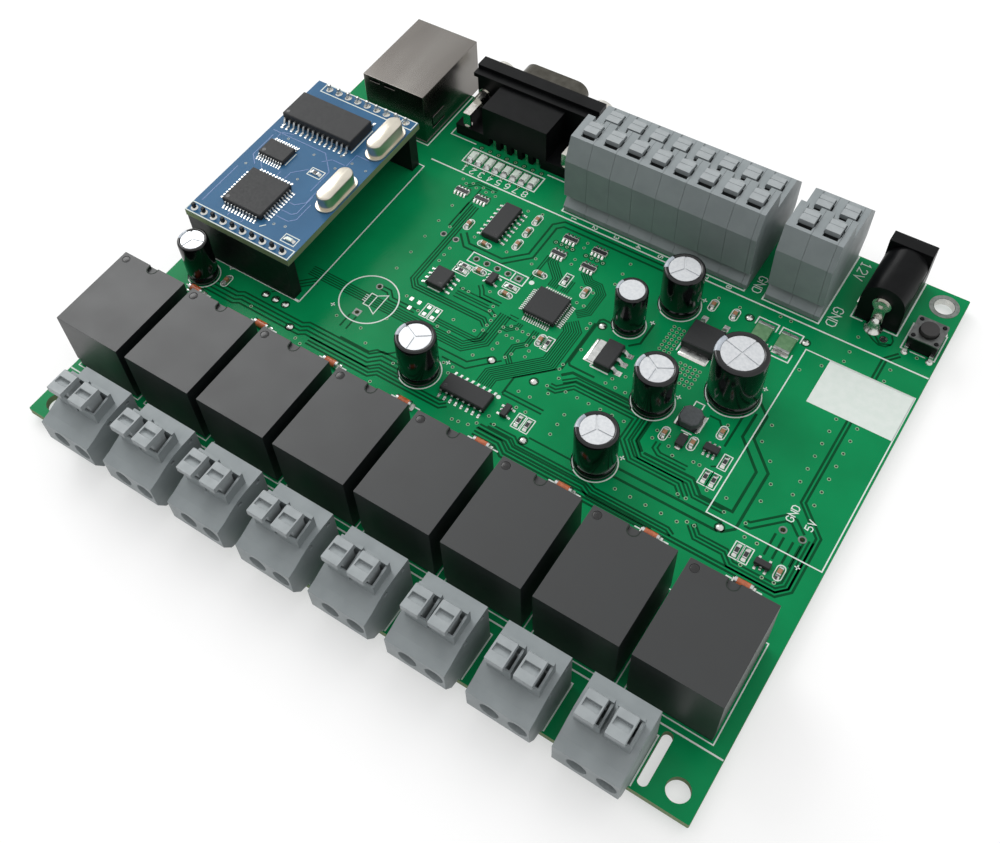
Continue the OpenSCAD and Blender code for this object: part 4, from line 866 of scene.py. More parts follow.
class StageLook(bpy.types.PropertyGroup):
    """Lens and light of the stage."""

    lens: bpy.props.FloatProperty(name="Lens", description="Focal length on a 36 mm sensor", default=42.98,
                                  min=20, max=200, unit="CAMERA")
    key_power: bpy.props.FloatProperty(name="Key lamp", description="Power of the lamp at the back left",
                                       default=2.6, min=0, subtype="POWER", unit="POWER")
    fill_power: bpy.props.FloatProperty(name="Fill lamp", description="Power of the wide lamp overhead",
                                        default=6.5, min=0, subtype="POWER", unit="POWER")
    sky: bpy.props.FloatProperty(name="Sky", description="Strength of the even light from all round",
                                 default=0.36, min=0, max=2, subtype="FACTOR")
    floor: bpy.props.StringProperty(name="Floor", description="Colour of the floor as sRGB hex",
                                    default="#ffffff")
    floor_glow: bpy.props.FloatProperty(name="Floor glow",
                                        description="Share of plain white in the floor that the "
                                        "camera sees, which thins the shadow", default=0.5, min=0, max=1,
                                        subtype="FACTOR")


# ---------- operators ----------


# The finish of each CAD node that keeps its own surface
NODE_FINISHES = {
    "main_board": "green", "relays": "relay", "output_terminals": "housing", "output_contacts": "rivet",
    "input_terminals": "housing", "input_contacts": "rivet", "network_jack_shield": "tinplate",
    "network_jack_insert": "black", "network_jack_contacts": "gold", "serial_housing": "black",
    "serial_shell": "shell", "serial_metalwork": "rivet", "power_jack_housing": "black",
    "power_jack_contacts": "rivet", "daughter_board": "blue", "daughter_headers": "strip",
    "daughter_sockets": "strip", "solder_joints": "solder", "reset_button": "button",
}
# Edge rounding of each moulded or stamped node, and of the levers and tabs, in millimetres
NODE_EDGES = {
    "relays": 0.25, "output_terminals": 0.16, "input_terminals": 0.14, "network_jack_shield": 0.12,
    "power_jack_housing": 0.12, "daughter_sockets": 0.06, "reset_button": 0.12, "serial_housing": 0.08,
}
LEVER_EDGE = 0.16
# Height of the part of a tab that stands clear of its well, in millimetres: below it, shade is painted on the
# tab
TAB_LIP = 1.0


def round_edges(node, edge):
    """Merges a node's loose triangles into flat faces and rounds its sharp edges by some millimetres."""
    weld = node.modifiers.new("merge_corners", "WELD")
    weld.merge_threshold = 0.002 * MM
    flat = node.modifiers.new("flatten_faces", "DECIMATE")
    flat.decimate_type = "DISSOLVE"
    flat.angle_limit = math.radians(1)
    bevel = node.modifiers.new("round_edges", "BEVEL")
    bevel.width = edge * MM
    bevel.segments = 2
    bevel.limit_method = "ANGLE"
    bevel.angle_limit = math.radians(40)
    bevel.harden_normals = True


class RELAYBOARD_OT_finishes(bpy.types.Operator):
    """Make every material and give the CAD nodes their finishes and edge rounding"""

    bl_idname = "relayboard.finishes"
    bl_label = "Finishes"

    def execute(self, context):
        board, plastic = context.scene.relay_board_look, context.scene.relay_plastic_look
        for made in (board_finishes(board), metal_finishes(), plastic_finishes(plastic), chip_finishes()):
            FINISHES.update(made)
        for name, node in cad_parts.items():
            finish = NODE_FINISHES.get(name)
            edge = NODE_EDGES.get(name, 0)
            if "_lever_" in name:
                finish, edge = "lever", LEVER_EDGE
            if "_tab_" in name:
                # Tabs get lever plastic with shade painted under the lip
                finish, edge = self.tab_finish(node, "_upper_" in name, plastic), LEVER_EDGE
            if finish is None:
                continue
            for material_slot in node.material_slots:
                material_slot.material = FINISHES[finish]
            if edge:
                round_edges(node, edge)
        return {"FINISHED"}

    def tab_finish(self, node, upper, plastic):
        """The finish of a tier's tabs, made at its first tab: lever plastic with shade painted under the lip.
        """
        finish = "upper_tab" if upper else "lower_tab"
        if finish not in FINISHES:
            lip = max(corner[2] for corner in node.bound_box) - TAB_LIP * MM
            FINISHES[finish] = shaded_below(lever_plastic(finish, plastic), lip)
        return finish


class RELAYBOARD_OT_relay_marks(bpy.types.Operator):
    """Build the polished gate mark, and a dark line of painted shade in the notch, on every relay's top"""

    bl_idname = "relayboard.relay_marks"
    bl_label = "Relay marks"

    def execute(self, context):
        low, high = board_box("relays")
        top, back, middle = high[2], high[1], RELAY_WIDTH / 2
        # The dimple lies this far in from the left and the back, and the notch's line of painted shade
        # runs inside its wall
        dimple = 1.4
        wall_r = 1.06
        centre = back - 0.7
        dome = lathe([(0.02, top - 0.25), (0.76, top - 0.25), (0.76, top - 0.06), (0.5, top),
                      (0.02, top + 0.01)], 24, (dimple, back - dimple))
        turns = np.linspace(0, -math.pi, 17)
        curve = np.column_stack([middle + wall_r * np.cos(turns), centre + wall_r * np.sin(turns)])
        path = np.vstack([[middle + wall_r, back - 0.1], curve, [middle - wall_r, back - 0.1]])
        # A dark strip of painted shade in the notch's groove
        line = strip(path, 0.2, top - 0.4, top + 0.012)
        places = [(low[0] + RELAY_STEP * k, 0) for k in range(RELAYS)]
        add_piece("relay_marks", [(copies(dome, places), FINISHES["dimple"]),
                                  (copies(line, places), FINISHES["hole"])], smooth=35)
        return {"FINISHED"}


# The teardrop line in front of the power jack, its bright ring, and the two rings beside the controller's row
TEARDROP = ((125.9, 100.6), (126.3, 99.7), (128.6, 98.1), (129.9, 97.5), (131.2, 97.8), (131.9, 98.8),
            (131.9, 99.7), (131.2, 100.9))
BRIGHT_RING = (130.2, 99.2)
OPEN_RINGS = ((43.3, 78.1), (46.4, 78.1))
# Plated holes of the supply pads, the spare header and the buzzer, round and square
HEADER_HOLES = [(52.96 + 2.54 * k, 75.9) for k in range(5)]
ROUND_PADS = [(131.5, 52.2), (135.05, 52.2)] + HEADER_HOLES[:4] + [(40.2, 59.6)]
SQUARE_PADS = (HEADER_HOLES[4], (40.2, 51.9))
# The last vias of the table stand clear of the copper, inside a gap of their own
CLEARED_VIAS = 24


class RELAYBOARD_OT_tracks(bpy.types.Operator):
    """Draw the copper-free lines of the main board's planes, its vias and its solder-filled holes"""

    bl_idname = "relayboard.tracks"
    bl_label = "Tracks and vias"

    def execute(self, context):
        lines = joined([bus(*row) for row in TRACKS] + [strip(TEARDROP, 0.34, SUNK, TRACK_TOP)])
        halos = copies(ring(0.62, 0.4, SUNK, TRACK_TOP, 16), VIAS[-CLEARED_VIAS:])
        hole_gaps = copies(ring(1.0, 0.72, SUNK, TRACK_TOP, 20), SOLDERED_HOLES)
        add_piece("track_gaps", [(joined([lines, halos, hole_gaps]), FINISHES["gap"])])
        rims = copies(ring(0.35, 0.22, SUNK, RIM_TOP, 14), VIAS)
        # Each via's hole is a dark disc of painted shade
        holes = copies(disc(0.23, SUNK, RIM_TOP - 0.004, 12), VIAS)
        add_piece("vias", [(rims, FINISHES["rim"]), (holes, FINISHES["hole"])])
        add_piece("plated_rings", [(self.solder(), FINISHES["solder"]), (self.rings(), FINISHES["dull_tin"]),
                                   (self.open_holes(), FINISHES["hole"])], smooth=35)
        return {"FINISHED"}

    def corner(self):
        """Centre of the plated mounting hole, at the back right."""
        inset = 3.75
        return board_box("main_board")[1][:2] - inset

    def solder(self):
        """Domes in the filled holes, solder up the power jack's strip, the bright ring and the wall."""
        bumps = copies(lathe([(0.02, SUNK), (0.7, SUNK), (0.7, 0.06), (0.55, 0.22), (0.3, 0.33),
                              (0.02, 0.36)], 20),
                       SOLDERED_HOLES)
        jack_low, jack_high = board_box("power_jack_contacts")
        # The strip stands this far from the right side of the jack's rivet
        strip_x = jack_high[0] - 1.8
        foot = lathe([(0.02, SUNK), (1.9, SUNK), (1.75, 0.25), (1.3, 0.7), (1.1, 1.5), (1.0, 2.2),
                      (0.75, 2.8), (0.3, 3.1), (0.02, 3.15)], 32, (strip_x, jack_low[1] + 0.1))
        bright = ring(0.8, 0.4, SUNK, PAD_TOP, 24, BRIGHT_RING)
        wall = ring(2.03, 1.94, -1.64, PAD_TOP, 48, self.corner())
        return joined([bumps, foot, bright, wall])

    def rings(self):
        """Flat tinned rings round the open holes, two of them square, and round the mounting hole."""
        rings_out = copies(ring(0.72, 0.46, SUNK, PAD_TOP, 20), OPEN_RINGS)
        hole_rings = copies(ring(0.74, 0.47, SUNK, PAD_TOP, 24), ROUND_PADS)
        mount = ring(2.85, 1.95, SUNK, PAD_TOP, 48, self.corner())
        square = [ring(rounded(1.6, 1.6, 0.01, 5, at), circle(0.46, 24, at, math.pi / 4), SUNK, PAD_TOP)
                  for at in SQUARE_PADS]
        return joined([rings_out, hole_rings, mount] + square)

    def open_holes(self):
        """Dark discs of painted shade in the rings that no CAD hole lies under."""
        return copies(disc(0.47, SUNK, PAD_TOP - 0.03, 16), OPEN_RINGS + (BRIGHT_RING,))


class RELAYBOARD_OT_print(bpy.types.Operator):
    """Print the white outlines and the generic figures on the main board"""

    bl_idname = "relayboard.print"
    bl_label = "Board print"

    def execute(self, context):
        shells = ink_lines(ZONE_LINES) + self.relay_row() + self.terminals() + self.figures()
        shells += ink_lines(CONNECTOR_LINES) + self.controller_and_buzzer() + self.open_fields()
        shells += self.capacitors() + self.chips()
        add_piece("board_print", [(joined(shells), FINISHES["ink"])])
        return {"FINISHED"}

    def relay_row(self):
        """A box round each relay, a dash each side of its glass diode, and three sides round a terminal."""
        low, high = board_box("relays")
        room, width, depth, dash_y = 0.3, 11.6, 9.4, 39.4
        shells = []
        for k in range(RELAYS):
            x = low[0] + k * RELAY_STEP
            shells.append(ink_box(x - room, low[1] - room, x + RELAY_WIDTH + room, high[1] + room))
            middle = x + RELAY_WIDTH / 2
            shells += [ink(((middle + s * 1.7, dash_y), (middle + s * 3.3, dash_y)), 0.26) for s in (-1, 1)]
            left = OUTPUT_LEFT + k * OUTPUT_STEP
            shells.append(ink(((left - 0.2, room), (left - 0.2, depth), (left + width, depth),
                               (left + width, room)), 0.24))
        return shells

    def terminals(self):
        """Outlines of the two-tier terminals with the poles' numbers, and the numbered indicator box."""
        shells = [ink(((low, 116.2), (low, 96.35), (high, 96.35), (high, 116.2)), 0.3)
                  for low, high in ((61.0, 102.7), (106.6, 118.3))]
        shells += [figure(str(k + 1), 64.3 + 5.07 * k, 95.7, 0.95, -90) for k in range(8)]
        shells.append(ink_box(34.7, 97.9, 53.1, 102.4, 0.28))
        return shells + [figure(str(k + 1), 36.3 + 2.21 * k, 96.3, 1.5, 180) for k in range(8)]

    def figures(self):
        """Words beside the supply terminals and pads, and the plus signs."""
        return [figure(*row) for row in FIGURES] + [figure("+", x, y, 1.5) for x, y in PLUS_SIGNS]

    def controller_and_buzzer(self):
        """The outline under the controller board, and the buzzer's ring with a speaker sign in it."""
        low, high = board_box("daughter_board")
        right = high[0] + 0.2
        shells = [ink(((low[0], high[1]), (right, high[1]), (right, low[1])), 0.26),
                  ink(((right, low[1] + 0.15), (low[0], low[1] + 0.15)), 0.5),
                  ring(6.25, 5.98, SUNK, INK_TOP, 64, (40.3, 55.8)),
                  ink(SPEAKER_BOX, 0.2, True), ink(SPEAKER_CONE, 0.2)]
        return shells + [ink(((39.1, y), (39.9, y)), 0.16) for y in SPEAKER_STROKES]

    def open_fields(self):
        """The spare header's box, the radio field with its solid label, and the fuses' brackets."""
        shells = [ink_box(51.5, 74.6, 64.7, 77.2, 0.26), ink(((61.8, 74.6), (61.8, 77.2)), 0.24),
                  ink_box(118.9, 48.4, 140.25, 89.5, 0.24),
                  block(16.4, 10.8, SUNK, INK_TOP, centre=(132.0, 84.05))]
        for left in (108.1, 113.1):
            shells += [ink(((left, y0), (left, y1), (left + 4.2, y1), (left + 4.2, y0)), 0.26)
                       for y0, y1 in ((90.2, 92.1), (86.9, 84.8))]
        return shells

    def capacitors(self):
        """A ring round each electrolytic capacitor, with a solid segment on its negative side: the part of
        the disc that an arc of 110 degrees and its chord enclose."""
        shells = []
        for x, y, diameter, _, _, _ in CAPACITORS:
            outer, inner = diameter / 2 + 0.35, diameter / 2 + 0.12
            shells.append(ring(outer, inner, SUNK, INK_TOP, 48, (x, y)))
            arc = np.linspace(math.radians(125), math.radians(235), 18)
            rim = np.column_stack([x + outer * np.cos(arc), y + outer * np.sin(arc)])
            shells.append(loft([at_height(rim, SUNK), at_height(rim, INK_TOP)]))
        return shells

    def chips(self):
        """Short lines and discs at the chips, and the outline round every chip capacitor and resistor."""
        shells = ink_lines(CHIP_LINES)
        shells += [disc(radius, SUNK, INK_TOP, 20, place) for radius, place in FIRST_PIN_DISCS]
        for places, wide, deep in ((CHIP_CAPACITORS[0], 1.5, 3.1), (CHIP_CAPACITORS[1], 3.1, 1.5)):
            shells.append(copies(strip(rounded(wide, deep, 0.72, 4), 0.18, SUNK, INK_TOP, True), places))
        for places, wide, deep in ((CHIP_RESISTORS[0] + EMPTY_RESISTOR_PADS, 1.6, 3.3),
                                   (CHIP_RESISTORS[1], 3.3, 1.5)):
            shells.append(copies(strip(rounded(wide, deep, 0.02, 1), 0.2, SUNK, INK_TOP, True), places))
        return shells


class RELAYBOARD_OT_chips(bpy.types.Operator):
    """Build the main board's chips with their bent leads, in place of the plain CAD ones"""

    bl_idname = "relayboard.chips"
    bl_label = "Chips"

    def execute(self, context):
        groups = []
        for row in CHIPS:
            groups += chip(*row)
        for row in POWER_CHIPS:
            groups += power_chip(*row)
        add_piece("board_chips_detailed", by_finish(groups), ["board_chips"], 35)
        return {"FINISHED"}


# Places of the single parts among the small ones, and the first of the indicator lights with their spacing
LONE_PADS = ((47.6, 60.4), (49.5, 60.4), (48.5, 58.3))
FUSES = ((110.2, 88.5), (115.1, 88.5))
COIL = (107.9, 63.7)
COIL_DIODE = (108.6, 58.8)
LIGHTS = [(36.2 + 2.21 * k, BOARD_SIZE[1] - 16.5) for k in range(8)]
# How far a relay's glass diode lies behind the relay
DIODE_BEHIND = 7.15


class RELAYBOARD_OT_small_parts(bpy.types.Operator):
    """Build chip parts, resistor arrays, lights, glass diodes, fuses, and the coil with its diode"""

    bl_idname = "relayboard.small_parts"
    bl_label = "Small parts"

    def execute(self, context):
        capacitors, resistors = [], []
        for turn, places in zip((90, 0), CHIP_CAPACITORS):
            capacitors += placed(chip_capacitor(turn), places)
        for turn, places in zip((90, 0), CHIP_RESISTORS):
            resistors += placed(chip_resistor(turn), places)
        self.add_parts("chip_capacitors", capacitors)
        self.add_parts("chip_resistors", resistors + self.empty_pads())
        self.add_parts("resistor_arrays", placed(self.resistor_array(), RESISTOR_ARRAYS), ["surface_parts"])
        self.add_parts("indicator_lights", placed(self.light(), LIGHTS))
        low, high = board_box("relays")
        middle, behind = low[0] + RELAY_WIDTH / 2, high[1] + DIODE_BEHIND
        places = [(middle + RELAY_STEP * k, behind) for k in range(RELAYS)]
        self.add_parts("glass_diodes", placed(self.glass_diode(), places), smooth=40)
        self.add_parts("board_fuses", placed(self.fuse(), FUSES))
        self.add_parts("coil_and_diode", self.coil_and_diode())
        return {"FINISHED"}

    def add_parts(self, name, groups, replaces=(), smooth=35):
        """Small parts of one kind as one piece."""
        add_piece(name, by_finish(groups), replaces, smooth)

    def empty_pads(self):
        """Tinned pads that no part stands on."""
        pads = joined([block(0.85, 0.9, SUNK, 0.1, 0.06, 0.1, centre=(0, s * 0.95)) for s in (-1, 1)])
        lone = block(0.8, 1.0, SUNK, 0.1, 0.06, 0.1)
        return [(copies(pads, EMPTY_RESISTOR_PADS), "solder"), (copies(lone, LONE_PADS), "solder")]

    def resistor_array(self):
        """Four resistors in one body, with a pad at each end of each."""
        body = block(3.2, 1.15, 0.03, 0.42, 0, 0.04)
        film = block(3.1, 0.95, 0.41, 0.48, 0.02, 0.04)
        ends, feet = [], []
        for x in (np.arange(4) - 1.5) * 0.8:
            for s in (-1, 1):
                ends.append(block(0.46, 0.3, 0.02, 0.46, 0.04, 0.05, centre=(x, s * 0.66)))
                feet.append(loft([at_height(rounded(0.52, 0.95, 0.1, 1, (x, s * 1.08)), SUNK),
                                  at_height(rounded(0.48, 0.9, 0.1, 1, (x, s * 1.06)), 0.1),
                                  at_height(rounded(0.4, 0.3, 0.05, 1, (x, s * 0.8)), 0.4)]))
        return [(body, "alumina"), (film, "resistor"), (joined(ends), "lead"), (joined(feet), "solder")]

    def light(self):
        """A light diode: pale base, milky lens towards the back, tinned ends."""
        base = block(1.7, 2.3, 0.04, 0.5, 0.05, 0.05, centre=(0, 0.3))
        lens = block(1.45, 1.9, 0.44, 0.8, 0.16, 0.15, centre=(0, 0.2))
        ends = joined([block(1.75, 0.4, SUNK, 0.45, 0.08, 0.06, centre=(0, 1.5)),
                       loft([at_height(rounded(1.7, 1.1, 0.3, 2, (0, -1.25)), SUNK),
                             at_height(rounded(1.65, 1.05, 0.3, 2, (0, -1.25)), 0.25),
                             at_height(rounded(1.1, 0.7, 0.3, 2, (0, -1.0)), 0.72)])])
        pads = block(1.75, 0.5, SUNK, 0.1, 0.05, 0.1, centre=(0, 1.8))
        return [(base, "lens"), (lens, "lens"), (ends, "lead"), (pads, "solder")]

    def glass_diode(self):
        """A glass tube with rounded metal caps: a profile of radius along the tube, turned about it."""
        along = np.array([-1.75, -1.7, -1.2, -1.15, 1.15, 1.2, 1.7, 1.75])
        radius = np.array([0.5, 0.78, 0.8, 0.7, 0.7, 0.8, 0.78, 0.5])
        axis_z, glass_r, glass_end = 0.8, 0.76, 1.18
        steps = 20
        angle = np.arange(steps) * 2 * math.pi / steps
        rings = [np.column_stack([np.full(steps, a), r * np.cos(angle), axis_z + r * np.sin(angle)])
                 for a, r in zip(along, radius)]
        caps = [loft(rings[:4]), loft(rings[4:])]
        glass = loft([np.column_stack([np.full(steps, a), glass_r * np.cos(angle),
                                       axis_z + glass_r * np.sin(angle)])
                      for a in (-glass_end, glass_end)])
        pads = joined([block(0.9, 1.7, SUNK, 0.25, 0.1, 0.1, centre=(s * 1.75, 0)) for s in (-1, 1)])
        return [(glass, "diode_glass"), (joined(caps), "lead"), (pads, "solder")]

    def fuse(self):
        """A green body with wide tinned ends."""
        body = block(3.2, 3.5, 0.05, 0.75, 0.05, 0.05)
        ends = joined([block(3.25, 0.62, 0.02, 0.8, 0.08, 0.08, centre=(0, s * 2.0)) for s in (-1, 1)])
        feet = joined([block(3.3, 1.2, SUNK, 0.2, 0.15, 0.1, centre=(0, s * 2.35)) for s in (-1, 1)])
        return [(body, "fuse"), (ends, "lead"), (feet, "solder")]

    def coil_and_diode(self):
        """A coil with cut corners over a tinned base plate, and the moulded diode in front of it."""
        x, y = COIL
        plates = joined([block(1.3, 4.15, SUNK, 0.26, 0.05, 0.1, centre=(x + s * 1.75, y)) for s in (-1, 1)])
        coil = [(block(4.0, 4.1, 0.25, 1.98, 0.2, 0.9, centre=COIL), "ferrite"),
                (block(4.0, 4.2, SUNK, 0.3, 0, 0.1, centre=COIL), "resistor"), (plates, "solder")]
        x, y = COIL_DIODE
        ends = joined([block(1.0, 0.8, SUNK, 0.35, 0.1, 0.1, centre=(x, y + s * 1.5)) for s in (-1, 1)])
        return coil + [(block(1.55, 2.5, 0.1, 1.08, 0.12, 0.05, centre=COIL_DIODE), "epoxy"),
                       (ends, "solder")]


class RELAYBOARD_OT_capacitors(bpy.types.Operator):
    """Build the electrolytic capacitors: crimped sleeve, printed stripe and scored aluminium top"""

    bl_idname = "relayboard.capacitors"
    bl_label = "Electrolytic capacitors"

    def execute(self, context):
        groups = []
        for x, y, diameter, height, scores, turn in CAPACITORS:
            groups += self.capacitor(x, y, diameter / 2, height, scores, turn)
        add_piece("capacitor_cans", by_finish(groups), ["electrolytic_capacitors"], 40)
        return {"FINISHED"}

    def capacitor(self, x, y, r, h, scores, turn):
        """The sleeve's profile turned about the can, with the faces of the stripe's angles set apart, and the
        vent's sectors: arcs of the top less half a score's width on each side."""
        steps = 60
        bead = 0.78 * r
        profile = [(r - 0.45, 0.0), (r - 0.3, 0.06), (r - 0.12, 0.12), (r, 0.3), (r, 1.5), (r - 0.1, 1.7),
                   (r - 0.26, 1.9), (r - 0.1, 2.1), (r, 2.35), (r, h - 0.55), (r - 0.08, h - 0.22),
                   (r - 0.28, h - 0.04), (r - 0.5, h), (bead + 0.12, h - 0.03), (bead, h - 0.12),
                   (bead, h - 0.4)]
        points, faces = loft([at_height(circle(p, steps, (x, y)), z) for p, z in profile], caps=False)
        middle = points[faces[0]].mean(axis=1) - [x, y, 0]
        angle = np.degrees(np.arctan2(middle[:, 1], middle[:, 0]))
        in_stripe = (np.abs(np.abs(angle) - 180) < 24) & (middle[:, 2] > 0.2)
        sleeve, stripe = (points, [faces[0][~in_stripe]]), (points, [faces[0][in_stripe]])
        under = disc(r - 0.44, 0.0, 0.3, 36, (x, y))
        floor = disc(bead + 0.05, h - 0.5, h - 0.3, 48, (x, y))
        parts = [(sleeve, "sleeve"), (stripe, "stripe"), (under, "rubber"), (floor, "can")]
        out = bead - 0.02
        top = h - 0.14
        if not scores:
            plate = disc(out, h - 0.35, top, 48, (x, y))
            return parts + [(plate, "can")]
        half = 0.14
        span = 2 * math.pi / scores
        for k in range(scores):
            rings = []
            for z, cut in ((h - 0.34, half), (top - 0.08, half), (top, half + 0.05)):
                edge = out - (cut - half)
                slack = math.asin(cut / edge)
                arc = np.linspace(slack, span - slack, 16)
                reach = cut / math.sin(span / 2)
                tip = [[reach * math.cos(span / 2), reach * math.sin(span / 2)]]
                outline = np.vstack([tip, np.column_stack([edge * np.cos(arc), edge * np.sin(arc)])])
                rings.append(at_height(outline, z))
            parts.append((moved(loft(rings), x, y, 0, turn + math.degrees(span) * k), "can"))
        return parts


# Layout of the controller board, from its left front corner: chips, crystals, and the first pin of each row
CONTROLLER_CHIPS = (("row28", 10.4, 34.1, 0), ("row20", 6.4, 22, 0), ("quad44", 10.5, 10.5, 0))
CRYSTALS = ((24.2, 19), (24.2, 35.8))
LONE_RESISTOR = (16.8, 21.5)
LONE_LIGHT = (23.6, 4.4)
PIN_PITCH = 2.54
NEAR_ROW, NEAR_PINS = (1.5, 1.3), 10
FAR_ROW, FAR_PINS = (3.9, 43.1), 9
# Printed lines: (width, path), then boxes: (width, left, front, right, back), then discs: (radius, place)
CONTROLLER_LINES = (
    (0.22, ((23.1, 41.8), (23.1, 44.25))), (0.24, ((19.6, 29.9), (19.6, 37.6))),
    (0.22, ((9.9, 20.1), (9.9, 23.9))), (0.22, ((16.1, 4.2), (17, 5.2))),
)
CONTROLLER_BOXES = (
    (0.24, 0.05, 0.15, 26.3, 2.6), (0.24, 2.4, 41.8, 26.3, 44.25), (0.2, 15.3, 20.5, 18.5, 22.6),
    (0.2, 22.0, 3.5, 25.3, 5.5),
)
CONTROLLER_DISCS = ((0.3, (1.9, 31.3)), (0.25, (6.5, 5.8)))
CONTROLLER_TRACKS = (
    ((1.0, 27.2), (15.0, 27.2), (19.0, 23.2), (19.0, 17.0)), ((3.2, 25.9), (3.2, 27.4), (6, 28.2)),
    ((17.2, 8.2), (20.2, 8.2), (21.4, 9.4), (21.4, 14)),
    ((17.2, 10.0), (19.6, 10.0), (20.4, 10.8), (20.4, 16)),
    ((17.2, 12.4), (18.6, 12.4), (20.2, 14), (20.2, 18.8), (21.8, 19)), ((10.2, 17.1), (10.2, 18.2)),
    ((12.2, 17.1), (12.2, 19), (14.8, 21.6)), ((4.1, 17.2), (2.0, 19.3), (2.0, 26)),
    ((6.1, 17.1), (4.7, 18.5)), ((1.4, 3.8), (1.4, 15)), ((21, 26.4), (21, 30), (24.2, 30)),
    ((15.8, 24.8), (17.4, 26.4), (20.6, 26.4)), ((12.2, 3.2), (12.2, 4.2)), ((8.6, 3.2), (8.6, 4.2)),
)
CONTROLLER_VIAS = ((18.2, 6.2), (19.4, 24.7), (2.4, 16.4), (14.6, 18.3), (20.6, 6.8), (13.2, 25.6),
                   (21.6, 27.6), (18.4, 28.2), (2.2, 28.6), (25.3, 27.3), (5.6, 26.6))


class RELAYBOARD_OT_controller(bpy.types.Operator):
    """Detail the controller board: print, tracks, chips, crystals, pins in their solder and small parts"""

    bl_idname = "relayboard.controller"
    bl_label = "Controller board"

    def execute(self, context):
        low, high = board_box("daughter_board")
        # Everything is built on a board whose left front corner is the origin, then lifted onto its top
        corner = (low[0], low[1], high[2])

        def onto_board(groups):
            return [(moved(shell, *corner), name) for shell, name in groups]

        add_piece("controller_parts_detailed", by_finish(onto_board(self.parts())),
                  ["daughter_parts"], 35)
        add_piece("controller_pins", by_finish(onto_board(self.pins())), smooth=35)
        add_piece("controller_print", by_finish(onto_board([(self.print_lines(), "ink")])))
        add_piece("controller_tracks", by_finish(onto_board(self.tracks())))
        return {"FINISHED"}

    def parts(self):
        """The three chips, two crystals, a chip resistor and a small light."""
        groups = [part for row in CONTROLLER_CHIPS for part in chip(*row)]
        groups += [(moved(shell, *place), "crystal") for place in CRYSTALS for shell in self.crystal()]
        groups += [(moved(shell, *LONE_RESISTOR), name) for shell, name in chip_resistor(0)]
        light = [(block(1.5, 0.8, 0.05, 0.55, 0.1, 0.1), "lens")] + chip_resistor(0)[2:]
        return groups + [(moved(shell, *LONE_LIGHT), name) for shell, name in light]

    def pins(self):
        """The near row is cut flush with its solder, and the far row's pins stand out of theirs."""
        near = [(NEAR_ROW[0] + PIN_PITCH * k, NEAR_ROW[1]) for k in range(NEAR_PINS)]
        far = [(FAR_ROW[0] + PIN_PITCH * k, FAR_ROW[1]) for k in range(FAR_PINS)]
        flush = lathe([(0.26, SUNK), (0.8, SUNK), (0.78, 0.05), (0.62, 0.2), (0.42, 0.26), (0.28, 0.2),
                       (0.26, 0.1)], 20)
        centre = disc(0.3, SUNK, 0.14, 12)
        cone = lathe([(0.02, SUNK), (0.82, SUNK), (0.8, 0.06), (0.6, 0.22), (0.46, 0.6), (0.36, 0.62),
                      (0.02, 0.62)], 20)
        pin = loft([at_height(rounded(0.66, 0.66, 0.02, 1), 0.1),
                    at_height(rounded(0.66, 0.66, 0.02, 1), 1.25),
                    at_height(rounded(0.4, 0.4, 0.02, 1), 1.42)])
        return [(copies(cone, far), "solder"), (copies(flush, near), "solder"), (copies(pin, far), "lead"),
                (copies(centre, near), "cover")]

    def print_lines(self):
        """Boxes round the pin rows and small parts, lines beside the chips and first-pin discs."""
        shells = ink_lines(CONTROLLER_LINES) + [ink_box(*box, width) for width, *box in CONTROLLER_BOXES]
        return joined(shells + [disc(radius, SUNK, INK_TOP, 16, place) for radius, place in CONTROLLER_DISCS])

    def tracks(self):
        """Paler lines where a track lies under the mask, and bare via rings."""
        track_top, ring_top = 0.03, 0.04
        lines = joined([strip(path, 0.2, SUNK, track_top) for path in CONTROLLER_TRACKS])
        rims = copies(ring(0.3, 0.16, SUNK, ring_top, 12), CONTROLLER_VIAS)
        return [(lines, "blue_track"), (rims, "dull_tin")]

    def crystal(self):
        """A crystal's flange and can: ovals at rising heights, drawn in over a rounded shoulder."""
        flange = ((4.4, 11.2, 0.0), (4.5, 11.3, 0.08), (4.5, 11.3, 0.34), (4.4, 11.2, 0.42))
        can = ((3.7, 10.1, 0.4), (3.6, 10.0, 0.7), (3.6, 10.0, 2.95), (3.5, 9.9, 3.2), (3.25, 9.65, 3.4),
               (2.9, 9.3, 3.5))
        return [loft([at_height(rounded(wide, deep, wide / 2, 10), z) for wide, deep, z in ovals])
                for ovals in (flange, can)]


